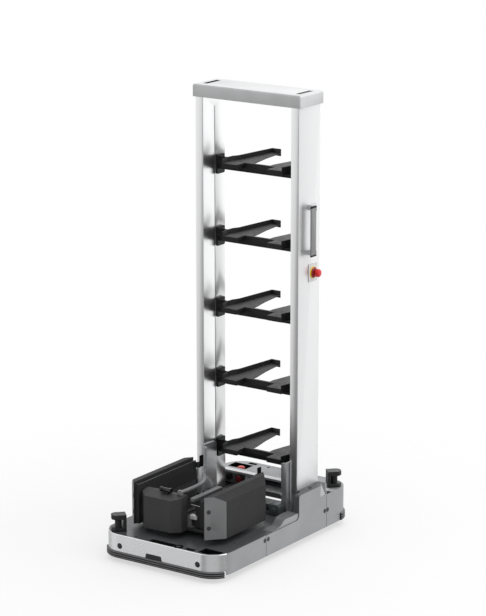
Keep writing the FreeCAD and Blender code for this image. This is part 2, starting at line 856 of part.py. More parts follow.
def caster_fork(x, y):
    """Swivel fork: round head, kingpin, two tapered legs and the fixed wheel axle."""
    top = caster_plate_bottom - face_gap
    head = cylinder(x, y, top - 9, V(0, 0, 1), 26, 9)
    pin = cylinder(x, y, top - 2, V(0, 0, 1), kingpin_radius, face_gap + skin + 16)
    axle_y = y + caster_trail
    leg = bevelled([
        (y - 20, top - 4), (y - 20, top - 16), (axle_y - 10, caster_radius - 10, 6.0),
        (axle_y + 10, caster_radius - 10, 6.0), (axle_y + 10, caster_radius + 12), (y + 24, top - 4),
    ])
    inner = caster_width / 2 + 1.0
    legs = [prism("yz", leg, x + inner, x + inner + 4), prism("yz", leg, x - inner - 4, x - inner)]
    axle = cylinder(x - inner - 7, axle_y, caster_radius, V(1, 0, 0), caster_axle, 2 * inner + 14)
    return join([head, pin, axle] + legs)


def caster_wheel(x, y):
    """Caster wheel: a bored hub that stands proud of a bevelled tread."""
    w = caster_width / 2
    r = caster_radius
    outline = [
        (-w - 0.7, caster_axle + running), (w + 0.7, caster_axle + running), (w + 0.7, 12), (w, 13),
        (w, r, 4.0), (-w, r, 4.0), (-w, 13), (-w - 0.7, 12),
    ]
    return revolved(outline, x, y + caster_trail, r, V(1, 0, 0))


def scanner(x, y, z, towards):
    """Laser scanner: a head over a slim optical neck, held by a plate behind it."""
    h = scanner_height
    w = scanner_width / 2
    plan = bevelled([(-scanner_front, -w, 16), (scanner_back, -w), (scanner_back, w), (-scanner_front, w, 16)])
    base = prism("xy", plan, 0, scanner_base)
    head = prism("xy", plan, h - scanner_head, h)
    neck = cylinder(0, 0, scanner_base - 1, V(0, 0, 1), w * 0.58, h - scanner_base - scanner_head + 2)
    plate = box(scanner_back - scanner_plate, scanner_back, -w, w, scanner_base - 1, h - scanner_head + 1)
    body = join([base, neck, head, plate])
    body.Placement = FreeCAD.Placement(V(x, y, z), FreeCAD.Rotation(V(0, 0, 1), towards))
    return body


# Mast

def upright():
    """Hollow mast column with a guide slot along its inner face and bevelled edges."""
    x0 = upright_inner
    x1 = upright_outer
    y0 = upright_front
    y1 = upright_rear
    t = upright_wall
    outer = prism("xy", bevelled([(x0, y0, 2), (x1, y0, 2), (x1, y1, 2), (x0, y1, 2)]), front_deck_top, mast_top)
    inner = box(x0 + t, x1 - t, y0 + t, y1 - t, front_deck_top - 1, mast_top + 1)
    half = guide_slot_width / 2
    guide = box(x0 - 1, x0 + t + 1, guide_slot_y - half, guide_slot_y + half, platform_bottom - 1, mast_top - 60)
    return outer.cut(inner).cut(guide)


def guide_rail():
    x1 = upright_outer - upright_wall
    y = guide_slot_y
    w = rail_y_width / 2
    x0 = x1 - rail_thickness
    section = [(x0, y - w), (x0, y + w), (x0 + 4, y + w), (x0 + 6, y + w - 2), (x1, y + w - 2),
               (x1, y - w + 2), (x0 + 6, y - w + 2), (x0 + 4, y - w)]
    return prism("xy", section, platform_bottom, mast_top - 20)


def guide_blocks():
    """Carriage blocks that wrap the guide rail, two on each side."""
    x1 = upright_outer - upright_wall
    y = guide_slot_y
    w = rail_y_width / 2 + 0.1
    face = x1 - rail_thickness - 0.1
    section = [(face - 14, y - 15), (face + 6, y - 15), (face + 6, y - w), (face, y - w), (face, y + w),
               (face + 6, y + w), (face + 6, y + 15), (face - 14, y + 15)]
    blocks = []
    for z in (column_foot + 18, column_top - block_height - 20):
        blocks += pair(prism("xy", section, z, z + block_height))
    return blocks


def mast_cap():
    """Top cross box with a bevelled rim, two recessed slots and an open hatch in its floor."""
    y0 = cap_front
    y1 = cap_front + cap_depth
    z0 = mast_top
    z1 = mast_top + cap_height
    x = cap_half_width
    body = prism("xy", [(-x, y0, 9.0), (x, y0, 9.0), (x, y1, 9.0), (-x, y1, 9.0)], z0, z1)
    body = body.makeChamfer(cap_bevel, edges_at(body, lambda b: b.ZMin > z1 - 0.01))
    hollow = box(-x + sheet, x - sheet, y0 + sheet, y1 - sheet, z0 + sheet, z1 - cap_bevel - sheet)
    hatch = box(-40, 40, y0 + 40, y1 - 40, z0 - 1, z0 + sheet + 1)
    body = body.cut(hollow.fuse(hatch))
    for side in (-1, 1):
        body = body.cut(slot(side * (upright_inner + 13.7), (y0 + y1) / 2, 26, 120, z1 - 3, z1 + 1))
    return body


# Storage trays

def tray(seat):
    """One welded tray: crossbeam, two arms with seats, lips and end stops, and side plates."""
    t = tray_sheet
    low = seat - beam_height
    end = upright_inner - face_gap
    beam = [
        box(-end, end, beam_front, beam_front + t, low, seat),
        box(-end, end, beam_front, beam_front + beam_depth, seat - t, seat),
        box(-end, end, beam_front, beam_front + beam_depth, low, low + t),
    ]
    seat_plan = [
        (tray_inner, tray_front), tray_outer_points[0], tray_outer_points[1], tray_outer_points[2],
        tray_outer_points[3], tray_outer_points[4], (tray_end_inner, tray_rear), (tray_inner - 20, 450),
        (tray_inner - 42, 336), (tray_inner - 42, 300), (tray_inner, 300),
    ]
    plate = prism("xy", seat_plan, seat - t, seat)
    (x1, y1), (x2, y2) = tray_outer_points[-2:]
    into_stop = (x2 + (x2 - x1) / (y2 - y1) * t / 2, y2 + t / 2)
    lip = ribbon(tray_outer_points[:-1] + [into_stop], t, seat - seat_skirt, seat + lip_height)
    taper = [(tray_front - 1, seat - seat_skirt - 1), (tray_rear + 10, seat - seat_skirt - 1),
             (tray_rear + 10, seat - 17), (430, seat - 17), (354, seat - seat_skirt), (tray_front - 1, seat - seat_skirt)]
    lip = lip.cut(prism("yz", taper, 0, base_width))
    nose = box(tray_inner, tray_outer_points[0][0], tray_front, tray_front + t, seat - seat_skirt - 4, seat)
    web = box(tray_inner, tray_inner + t, tray_front, beam_front + t, seat - seat_skirt - 4, seat)
    stop = box(tray_end_inner, tray_outer_points[4][0], tray_rear, tray_rear + t, seat - 17, seat + lip_height)
    gusset = prism("yz", [(beam_front, low + t), (beam_front + 130, seat - t), (beam_front, seat - t)],
                   tray_inner + 26, tray_inner + 26 + t)
    side = box(end - plate_thickness, end, plate_front, plate_front + plate_depth,
               seat - 26 - plate_height / 2, seat - 26 + plate_height / 2)
    side = side.makeChamfer(5, edges_at(side, lambda b: b.XMax - b.XMin > plate_thickness - 0.1))
    waist = tray_outer_points[1][0] - 7
    link_plan = [(waist, plate_front), (end - 1, plate_front), (end - 1, plate_front + 40), (waist, plate_front + 52)]
    link = prism("xy", link_plan, seat - seat_skirt, seat - seat_skirt + t)
    link_wall = box(waist + 2, end - 1, plate_front, plate_front + t, seat - seat_skirt, seat + lip_height)
    arm = [plate, lip, nose, web, stop, gusset, side, link, link_wall]
    return join(beam + arm + [mirrored(piece) for piece in arm])


# Handle and the stop button on the right upright

def handle():
    """Bar handle that stands off on a wedge bracket behind each of its ends."""
    x = upright_outer
    w = handle_width / 2
    face = x + handle_stand + handle_thickness
    section = bevelled([(face - handle_thickness, handle_y - w, 2), (face, handle_y - w, 3),
                        (face, handle_y + w, 3), (face - handle_thickness, handle_y + w, 2)])
    bar = prism("xy", section, handle_bottom, handle_top)
    root = handle_y + w
    wedge = [(x, root - 10), (face - handle_thickness, root - 10), (face - handle_thickness, root), (face, root),
             (x + 2.5, root + handle_bracket_reach), (x, root + handle_bracket_reach)]
    brackets = [prism("xy", wedge, z, z + handle_bracket) for z in (handle_bottom, handle_top - handle_bracket)]
    return join([bar] + brackets)


def stop_station():
    """Back plate and raised collar of the mast's stop button, bored for its stem."""
    x = upright_outer
    w = stop_plate_width / 2
    h = stop_plate_height / 2
    outline = [(stop_y - w, stop_z - h, 4), (stop_y + w, stop_z - h, 4), (stop_y + w, stop_z + h, 4),
               (stop_y - w, stop_z + h, 4)]
    plate = prism("yz", bevelled(outline), x, x + 2.5)
    ring = revolved([(2.5, stop_stem_radius), (18, stop_stem_radius), (18, stop_ring_radius - 8),
                     (8, stop_ring_radius), (2.5, stop_ring_radius)], x, stop_y, stop_z, V(1, 0, 0))
    bore = cylinder(x - 1, stop_y, stop_z, V(1, 0, 0), stop_stem_radius, 30)
    return [plate.cut(bore), ring]


def stop_button(x, y, z, axis, seat, depth):
    """Mushroom button: domed cap on a stem that slides in its collar."""
    outline = [
        (-depth, 0.001), (seat + 24, 0.001), (seat + 21, stop_cap_radius * 0.75),
        (seat + 13, stop_cap_radius, 3.0), (seat + 3, stop_cap_radius * 0.86),
        (seat, stop_stem_radius - running), (-depth, stop_stem_radius - running),
    ]
    return revolved(outline, x, y, z, axis)


def power_knob():
    """Round switch knob with a raised finger bar across its face."""
    y = rear_deck_front + skin + face_gap
    x = knob_x
    body = cylinder(x, y - face_gap - 12, knob_z, V(0, 1, 0), knob_radius, 12)
    body = body.makeChamfer(2, edges_at(body, lambda b: b.YMax < y - 12))
    reach = knob_radius - 2
    bar = box(x - 5, x + 5, y - face_gap - 20, y - face_gap - 11, knob_z - reach, knob_z + reach)
    stem = cylinder(x, y - 2, knob_z, V(0, 1, 0), knob_stem_radius, 20)
    return join([body, bar, stem])


def reset_button():
    y = rear_deck_front + skin + face_gap
    head = cylinder(reset_x, y - stop_travel - 13, knob_z, V(0, 1, 0), reset_radius, 12)
    head = head.makeChamfer(3, edges_at(head, lambda b: b.YMax < y - stop_travel - 12))
    stem = cylinder(reset_x, y - stop_travel - 2, knob_z, V(0, 1, 0), knob_stem_radius, 28)
    return head.fuse(stem).removeSplitter()


# Lift carriage

def carriage_column(side):
    """Carriage column: bent flange and web, with a blade that enters the mast's slot."""
    t = column_sheet
    outer = upright_inner - 1.8
    foot = column_foot if side > 0 else column_foot + 108
    flange = prism("xz", [(column_inner, foot, 3.0), (outer, foot), (outer, column_top), (column_inner, column_top - 6, 10.0)],
                   column_front, column_front + t)
    rear = guide_slot_y + guide_slot_width / 2 - face_gap
    web = prism("yz", [(column_front, column_foot), (rear, column_foot), (rear, column_top - 4, 22.0),
                       (column_front + 40, column_top), (column_front, column_top)], outer - t, outer)
    blade_front = guide_slot_y - guide_slot_width / 2 + face_gap
    reach = upright_outer - upright_wall - rail_thickness - 14.1
    blade = box(outer - 1, reach, blade_front, rear, column_foot + 10, column_top - 14)
    foot_plate = prism("yz", [(column_front, platform_bottom, 3.0), (cross_rear, platform_bottom, 3.0),
                              (cross_rear + 30, column_foot + 1), (column_front, column_foot + 1)], outer - t, outer)
    column = join([flange, web, blade, foot_plate])
    return column if side > 0 else mirrored(column)


def carriage_platform():
    """Ribbed cradle under the picker, with the fixed outer ring of the turning bearing."""
    edge = upright_inner - 1.8 - column_sheet
    plan = [
        (-stem_half_width, turn_y - ring_outer + 10, 60.0), (stem_half_width, turn_y - ring_outer + 10, 60.0),
        (stem_half_width, column_front + 2, 20.0), (edge, column_front + 2), (edge, cross_rear),
        (-edge, cross_rear), (-edge, column_front + 2), (-stem_half_width, column_front + 2, 20.0),
    ]
    plate = prism("xy", plan, platform_bottom, platform_top)
    pockets = []
    for y0, y1 in ((turn_y + 70, turn_y + 200), (turn_y + 210, column_front - 10)):
        for x0, x1 in ((-stem_half_width + 10, -5), (5, stem_half_width - 10)):
            pockets.append(box(x0, x1, y0, y1, platform_bottom - 1, platform_top - 6))
    for x0, x1 in ((-edge + 8, -stem_half_width), (stem_half_width, edge - 8)):
        pockets.append(box(x0, x1, column_front + 12, cross_rear - 10, platform_bottom - 1, platform_top - 6))
    for pocket in pockets:
        plate = plate.cut(pocket)
    plate = plate.cut(cylinder(0, turn_y, platform_bottom - 1, V(0, 0, 1), 36, platform_height + 2))
    ring = cylinder(0, turn_y, platform_top, V(0, 0, 1), ring_outer, picker_bottom - platform_top - face_gap)
    ring = ring.cut(cylinder(0, turn_y, platform_top - 1, V(0, 0, 1), ring_inner, 20))
    return [plate, ring]


def lift_motor():
    """Lift gearmotor on the deck: rounded housing with an oval inspection hole."""
    x0 = lift_motor_x - lift_motor_width / 2
    x1 = lift_motor_x + lift_motor_width / 2
    y0 = lift_motor_y - lift_motor_depth / 2
    y1 = lift_motor_y + lift_motor_depth / 2
    z0 = front_deck_top
    z1 = front_deck_top + lift_motor_height
    body = prism("xz", [(x0, z0), (x1, z0), (x1, z1, 16.0), (x0, z1, 26.0)], y0, y1)
    oval = prism("xz", [(lift_motor_x - 34, z0 + 18, 8.9), (lift_motor_x - 16, z0 + 18, 8.9),
                        (lift_motor_x - 16, z0 + 44, 8.9), (lift_motor_x - 34, z0 + 44, 8.9)], y0 - 1, y0 + 18)
    shaft = cylinder(lift_motor_x + 10, y0 - 8, z0 + 30, V(0, 1, 0), 14, 10)
    return body.cut(oval).fuse(shaft).removeSplitter()


# Picker

def arm_plan(inset):
    """Plan of one side arm: straight inner edge, slanted ends."""
    front = picker_front + inset * 1.6
    rear = picker_rear - inset * 1.6
    return [
        (arm_inner + inset, front), (arm_outer - inset, front + arm_front_taper),
        (arm_outer - inset, rear - arm_front_taper), (arm_inner + inset, rear),
    ]


def arm_cut(inset):
    """Wedge above the arm's bevelled top."""
    top = arm_top - inset
    flat = arm_inner + arm_flat - inset * 0.4
    outline = [(flat, top), (arm_outer + 30, top - arm_bevel * (arm_outer + 30 - flat) / (arm_outer - flat)),
               (arm_outer + 30, arm_top + 30), (0, arm_top + 30), (0, top)]
    return prism("xz", outline, picker_front - 20, picker_rear + 20)


def arm_cover():
    """Hollow side arm with a flat and bevelled top and slanted ends, open underneath."""
    outer = prism("xy", arm_plan(0), picker_bottom, arm_top + 10).cut(arm_cut(0))
    hollow = prism("xy", arm_plan(arm_wall), picker_bottom - 1, arm_top).cut(arm_cut(arm_wall))
    outer = outer.cut(hollow)
    return outer.cut(end_cap_space())


def end_cap_space():
    """Slanted slab at the arm's front, where the end cap sits."""
    cover = prism("xy", arm_plan(0), picker_bottom, arm_top + 10).cut(arm_cut(0))
    dx = arm_outer - arm_inner
    depth = end_cap_thickness * math.hypot(dx, arm_front_taper) / dx
    slab = prism("xy", [(arm_inner - 1, picker_front - 2), (arm_outer + 1, picker_front + arm_front_taper + 1),
                        (arm_outer + 1, picker_front + arm_front_taper + 1 + depth),
                        (arm_inner - 1, picker_front - 2 + depth)], picker_bottom - 1, arm_top + 1)
    return cover.common(slab)


def arm_end_cap():
    """Slanted front cap of an arm with two counterbored screws."""
    cap = end_cap_space()
    dx = arm_outer - arm_inner
    length = math.hypot(dx, arm_front_taper)
    normal = V(arm_front_taper / length, -dx / length, 0)
    along = 0.2
    x = arm_inner + dx * along
    y = picker_front + arm_front_taper * along
    for z in (arm_top - 76, arm_top - 160):
        start = V(x, y, z) - normal * 2.5
        cap = cap.cut(Part.makeCylinder(7.5, 6, start, normal))
    return cap


def inner_panel():
    """Inner guide panel: a rail above and below the fork, and an upright sensor post."""
    x0 = panel_inner
    x1 = panel_inner + panel_thickness
    front = panel_front - 6
    rear = picker_rear - 2
    top = box(x0, x1, front, rear, fork_top + face_gap, panel_top)
    low = box(x0, x1, front, rear, picker_bottom, fork_bottom - face_gap)
    tie = box(x0, arm_inner, front, panel_front - face_gap, picker_bottom, panel_top)
    lid = box(x0 + 4, arm_inner, front, rear, fork_top + face_gap, fork_top + face_gap + 3)
    floor = box(x0 + 4, arm_inner, front, rear, picker_bottom, picker_bottom + 4)
    post = prism("yz", [(-14, 353, 3.0), (33, 353, 3.0), (33, post_top, 3.0), (5, post_top, 3.0), (5, 384, 4.0),
                        (-14, 384, 3.0)], post_x - 3, post_x + 3)
    arm = box(post_x + 2, x0 + 1, -14, -4, 356, 381)
    return join([top, low, tie, lid, floor, post, arm])


def picker_base():
    """Turntable hub and bed: folded edges, slide strips and the floor under the nose."""
    z0 = picker_bottom
    x = panel_inner - running
    floor = box(-x, x, bed_front, picker_rear - 4, z0, z0 + sheet)
    front = box(nose_right + face_gap, x, bed_front, bed_front + sheet, z0, bed_top)
    rear = box(-x, x, picker_rear - 4 - sheet, picker_rear - 4, z0, bed_top)
    strips = [box(side * 95 - 14, side * 95 + 14, bed_front, picker_rear - 4, z0, bed_top) for side in (-1, 1)]
    under_nose = [(nose_left + nose_wall + face_gap, bed_front + 1), (nose_right - nose_wall - face_gap, bed_front + 1),
                  (nose_right - nose_wall - face_gap, nose_front + nose_corner + 2),
                  (nose_right - nose_corner - 2, nose_front + nose_wall + 1),
                  (nose_left + nose_corner + 2, nose_front + nose_wall + 1),
                  (nose_left + nose_wall + face_gap, nose_front + nose_corner + 2)]
    tongue = prism("xy", under_nose, z0, z0 + sheet)
    hub = cylinder(0, turn_y, platform_top + face_gap, V(0, 0, 1), ring_inner - running, z0 - platform_top)
    return join([floor, front, rear, tongue, hub] + strips)


def nose_housing():
    """Electronics nose: chamfered front corners, sloped top, open underneath and hollow."""
    outer = nose_solid(0)
    inner = nose_solid(nose_wall)
    inner.translate(V(0, 0, -nose_wall))
    shell = outer.cut(inner)
    x, y, z = hose_points[0]
    r = hose_diameter / 2 + 4
    collar = prism("xz", bevelled([(x - r, nose_top), (x + r, nose_top), (x + r, z + r, 5), (x - r, z + r, 5)]),
                   y - 17, y - 1)
    bed_room = box(nose_left + nose_wall, nose_right - nose_wall, bed_front - nose_wall - 1, bed_front,
                   picker_bottom - 1, picker_bottom + sheet + face_gap)
    shell = shell.cut(bed_room)
    cable_hole = cylinder(-60, bed_front + 1, picker_bottom + 40, V(0, -1, 0), 14, nose_wall + 4)
    return shell.cut(cable_hole).fuse(collar).removeSplitter()


def nose_solid(inset):
    x0 = nose_left + inset
    x1 = nose_right - inset
    y0 = nose_front + inset
    y1 = bed_front - face_gap - inset
    c = nose_corner - inset * 0.6
    plan = [(x0, y1), (x0, y0 + c), (x0 + c, y0), (x1 - c, y0), (x1, y0 + c), (x1, y1)]
    solid = prism("xy", plan, picker_bottom - (1 if inset else 0), nose_top)
    slope = [(y0 - 1, nose_top - nose_slope - 0.3), (y0 + 70, nose_top + 0.01), (y0 + 70, nose_top + 9), (y0 - 1, nose_top + 9)]
    return solid.cut(prism("yz", slope, x0 - 1, x1 + 1))


def picker_camera():
    """Barrel camera on a saddle on top of the nose, with its lens end to the left."""
    z = nose_top + 15
    y = -462.0
    barrel = revolved([(0, 0.001), (66, 0.001), (66, 13), (52, 13), (52, 11), (14, 11), (14, 13), (0, 13)],
                      -86, y, z, V(1, 0, 0))
    saddle = prism("yz", [(y - 12, nose_top), (y + 12, nose_top), (y + 8, nose_top + 8), (y - 8, nose_top + 8)], -70, -36)
    saddle = saddle.cut(cylinder(-90, y, z, V(1, 0, 0), 10.9, 80))
    return barrel.fuse(saddle).removeSplitter()


def cable_duct():
    """Light duct bar along the bed with a rounded front end and bevelled top edges."""
    x0 = duct_x - duct_width / 2
    x1 = duct_x + duct_width / 2
    z0 = duct_top - duct_height
    bar = prism("xy", [(x0, duct_front, 13.0), (x1, duct_front, 13.0), (x1, duct_rear), (x0, duct_rear)],
                z0, duct_top)
    bar = bar.makeChamfer(2, [e for e in bar.Edges if e.BoundBox.ZMin > duct_top - 0.01])
    return bar


def fork_drive():
    """Belt-drive case beside the bed and its motor, which run the forks."""
    case = prism("yz", [(bed_front + 8, bed_top, 3.0), (duct_rear - 6, bed_top, 3.0),
                        (duct_rear - 6, duct_top - duct_height, 10.0), (bed_front + 8, duct_top - duct_height, 10.0)],
                 duct_x + 24, panel_inner - 8)
    groove = box(duct_x, panel_inner, bed_front + 4, bed_front + 10, 318, 321)
    case = case.cut(groove)
    shelf = box(duct_x - 10, duct_x + 25, bed_front + 20, duct_rear - 10, bed_top, duct_top - duct_height)
    shelf = shelf.cut(box(duct_x - 11, duct_x + 20, bed_front + 40, duct_rear - 30, bed_top + 40, duct_top - duct_height - 8))
    motor = cylinder(nose_right + 24, bed_front + 30, bed_top + 24, V(0, 1, 0), 22, 70)
    foot = box(nose_right + 6, nose_right + 42, bed_front + 30, bed_front + 100, bed_top, bed_top + 12)
    return [join([case, shelf]), motor.fuse(foot).removeSplitter()]


# Telescopic forks and fingers

def fork_mid():
    """Middle fork stage: a plate with ball grooves on both faces."""
    x0 = panel_inner + panel_thickness + face_gap
    x1 = arm_inner - face_gap
    plate = box(x0, x1, panel_front, picker_rear - 3, fork_bottom, fork_top)
    for z in (fork_bottom + 20, fork_top - 20):
        for x in (x0, x1):
            plate = plate.cut(cylinder(x, panel_front - 1, z, V(0, 1, 0), 2.0, picker_rear - panel_front + 2))
    return plate


def fork_tip():
    """End fork stage: a plate with lightening slots and the finger's hinge pin at its end."""
    x0 = panel_inner
    x1 = panel_inner + panel_thickness
    plate = box(x0, x1, panel_front, picker_rear - 1, fork_bottom, fork_top)
    middle = (x0 + x1) / 2
    pin = cylinder(middle, picker_rear - 4, finger_pivot_z, V(0, 1, 0), finger_pin,
                   3 + finger_width + 2 * face_gap + 3)
    head = cylinder(middle, picker_rear - 1 + finger_width + 2 * face_gap, finger_pivot_z, V(0, 1, 0), finger_hub, 3)
    return join([plate, pin, head])


def finger():
    """Flip finger: hub on the hinge pin and a rounded blade that lies upright at rest."""
    x = panel_inner + panel_thickness / 2
    y0 = picker_rear - 1 + face_gap
    z = finger_pivot_z
    w = panel_thickness / 2 - 0.2
    blade = prism("xz", [(x - w, z - 6, 3.5), (x + w, z - 6, 3.5), (x + w, z + finger_length, 2.5),
                         (x - w, z + finger_length, 2.5)], y0, y0 + finger_width)
    return blade.cut(cylinder(x, y0 - 1, z, V(0, 1, 0), finger_pin + running, finger_width + 2))


# Fasteners

def screw_x(x, y, z, side):
    """Domed panel screw in a side skin's hole."""
    head = cylinder(0, 0, 0, V(1, 0, 0), panel_screw_radius, skin)
    head.Placement = FreeCAD.Placement(V(x, y, z), FreeCAD.Rotation(V(1, 0, 0), V(side, 0, 0)))
    return head


def panel_screws():
    screws = []
    for side in (-1, 1):
        for y, z in panel_screws_yz:
            screws.append(screw_x(side * (half_width - skin), y, z, side))
    return screws


def build_base():
    save("front_cover", front_cover())
    save("front_sensors", front_sensors())
    save("bumpers", [
        bumper(True, front_bumper_turn, front_bumper_bottom, front_bumper_top, front_bumper_lobes),
        bumper(False, 88.0, skirt_bottom, rear_bumper_top - face_gap, rear_bumper_lobes),
    ])
    save("side_panels_front", pair(side_panel_front()))
    save("side_panels_middle", pair(side_panel_middle()))
    save("rear_cover", rear_cover())
    save("front_deck", front_deck())
    save("deck_fairings", pair(deck_fairing()))
    save("rear_deck", rear_deck())
    save("control_shelf", control_shelf())
    save("chassis", chassis())
    save("battery", battery())
    save("controller", controller())
    save("drive_motors", pair(drive_motor()))
    save("scanners", [
        scanner(scanner_front_x, scanner_front_y, front_deck_top, 45.0),
        scanner(scanner_rear_x, scanner_rear_y, rear_deck_top, 225.0),
    ])
    save("panel_screws", panel_screws())
    save("lift_motor", lift_motor())


def build_wheels():
    for side, name in ((-1, "left"), (1, "right")):
        save("drive_wheel_" + name, drive_wheel(side))
        for y, place in ((caster_front_y, "front"), (caster_rear_y, "rear")):
            save("caster_fork_" + place + "_" + name, caster_fork(side * caster_x, y))
            save("caster_wheel_" + place + "_" + name, caster_wheel(side * caster_x, y))


def build_mast():
    save("mast_uprights", pair(upright()))
    save("guide_rails", pair(guide_rail()))
    save("mast_cap", mast_cap())
    for i in range(tray_count):
        save("tray_%d" % (i + 1), tray(tray_seat_1 + i * tray_pitch))
    save("handle", handle())
    save("stop_station", stop_station())
    save("stop_button", stop_button(upright_outer, stop_y, stop_z, V(1, 0, 0), 18 + stop_travel, -stop_travel - face_gap))
    floor = rear_deck_top - pit_depth
    save("deck_stop_button", stop_button(deck_stop_x, deck_stop_y, floor, V(0, 0, 1), stop_travel, 12))
    save("power_knob", power_knob())
    save("reset_button", reset_button())


def build_carriage():
    save("carriage_columns", [carriage_column(1), carriage_column(-1)] + guide_blocks())
    save("carriage_platform", carriage_platform())
    save("hose_fixed", hose_parts()[1])


def build_picker():
    save("picker_base", picker_base())
    save("arm_cover_right", arm_cover())
    save("arm_cover_left", mirrored(arm_cover()))
    save("arm_end_caps", pair(arm_end_cap()))
    save("inner_panels", pair(inner_panel()))
    save("nose_housing", nose_housing())
    save("picker_camera", picker_camera())
    save("cable_duct", cable_duct())
    save("fork_drive", fork_drive())
    save("hose_turning", hose_parts()[0])
    for name, place in (("right", lambda shape: shape), ("left", mirrored)):
        save("fork_mid_" + name, place(fork_mid()))
        save("fork_tip_" + name, place(fork_tip()))
        save("finger_" + name, place(finger()))


os.makedirs("parts", exist_ok=True)
build_base()
build_wheels()
build_mast()
build_carriage()
build_picker()
print("origin moved %.2f mm along Y" % shift_y)
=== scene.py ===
import json
import math

import bmesh
import bpy
from mathutils import Matrix, Vector


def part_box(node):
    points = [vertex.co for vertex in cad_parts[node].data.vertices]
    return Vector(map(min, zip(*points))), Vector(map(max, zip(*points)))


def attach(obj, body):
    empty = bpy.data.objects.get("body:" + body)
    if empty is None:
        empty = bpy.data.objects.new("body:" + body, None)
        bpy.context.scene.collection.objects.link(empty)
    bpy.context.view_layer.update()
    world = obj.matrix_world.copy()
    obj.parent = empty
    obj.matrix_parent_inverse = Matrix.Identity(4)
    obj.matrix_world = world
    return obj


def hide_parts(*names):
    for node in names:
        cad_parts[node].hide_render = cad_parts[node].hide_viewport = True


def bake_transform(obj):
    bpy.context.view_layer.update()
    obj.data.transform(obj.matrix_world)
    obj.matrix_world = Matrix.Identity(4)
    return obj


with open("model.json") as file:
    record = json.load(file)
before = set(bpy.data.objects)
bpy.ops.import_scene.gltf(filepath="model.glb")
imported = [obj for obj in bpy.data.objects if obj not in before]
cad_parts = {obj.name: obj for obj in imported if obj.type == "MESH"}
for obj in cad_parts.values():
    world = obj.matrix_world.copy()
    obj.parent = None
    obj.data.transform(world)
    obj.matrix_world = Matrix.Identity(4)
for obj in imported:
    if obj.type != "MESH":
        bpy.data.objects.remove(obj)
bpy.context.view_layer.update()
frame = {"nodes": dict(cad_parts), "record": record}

# Metres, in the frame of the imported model: X to the robot's right, Y to its rear, Z up.

MM = 0.001
NODES = frame["nodes"]
BODY_OF = {node: body for body, nodes in frame["record"]["behaviour"]["bodies"].items() for node in nodes}
SLOT_OF = {row["node"]: row["material_slot"] for row in frame["record"]["subparts"]}
UP, FORWARD, BACK, RIGHT = (0, 0, 1), (0, -1, 0), (0, 1, 0), (1, 0, 0)
SIDES = ((-1, "left"), (1, "right"))

# Places that the pieces below share with the CAD nodes
HALF_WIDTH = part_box("side_panels_middle")[1][0]
HALF_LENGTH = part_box("rear_cover")[1][1]
BASE_CORNER = 116 * MM
FRONT_DECK_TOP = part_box("front_deck")[1][2]
REAR_DECK_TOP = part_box("rear_deck")[1][2]
WALL_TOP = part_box("side_panels_middle")[1][2]
NOSE_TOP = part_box("picker_camera")[0][2]
COLUMN_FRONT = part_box("carriage_columns")[0][1]


def middle_of(node):
    """Centre of a CAD node's box."""
    low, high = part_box(node)
    return [(a + b) / 2 for a, b in zip(low, high)]


def linked(name, data):
    """A new object in the scene for a mesh, curve, lamp or camera."""
    made = bpy.data.objects.new(name, data)
    bpy.context.scene.collection.objects.link(made)
    return made


def aim(thing, place, target):
    """Put a camera or a lamp at a place, looking at a target."""
    thing.location = place
    thing.rotation_mode = "QUATERNION"
    thing.rotation_quaternion = (Vector(target) - Vector(place)).to_track_quat("-Z", "Y")


# Camera, solved from the photograph's vertical and horizontal edges

CAMERA_PLACE = (7.4785, -10.6309, 4.5499)
CAMERA_TARGET = (-0.09939, 0.27809, 1.15470)
SENSOR = 36.0
PICTURE_HEIGHT = 616
FOCAL_PIXELS = 2661.2


def make_camera():
    data = bpy.data.cameras.new("camera")
    data.sensor_width = SENSOR
    data.lens = FOCAL_PIXELS / PICTURE_HEIGHT * SENSOR
    data.clip_start = 0.1
    data.clip_end = 100
    camera = linked("camera", data)
    aim(camera, CAMERA_PLACE, CAMERA_TARGET)
    bpy.context.scene.camera = camera


make_camera()


# Node trees of materials, shapes and the world

def feed(tree, node, inputs):
    """Join other nodes' outputs to a node's inputs, or set them to plain values."""
    for label, value in inputs.items():
        if isinstance(value, bpy.types.NodeSocket):
            tree.links.new(value, node.inputs[label])
        else:
            node.inputs[label].default_value = value


def add_node(tree, kind, inputs=None, **settings):
    """A new node with its settings, then with its named or numbered inputs."""
    made = tree.nodes.new(kind)
    for name, value in settings.items():
        setattr(made, name, value)
    feed(tree, made, inputs or {})
    return made


def add_math(tree, operation, *values):
    """One step of arithmetic on outputs and plain numbers."""
    return add_node(tree, "ShaderNodeMath", dict(enumerate(values)), operation=operation).outputs[0]


# Materials

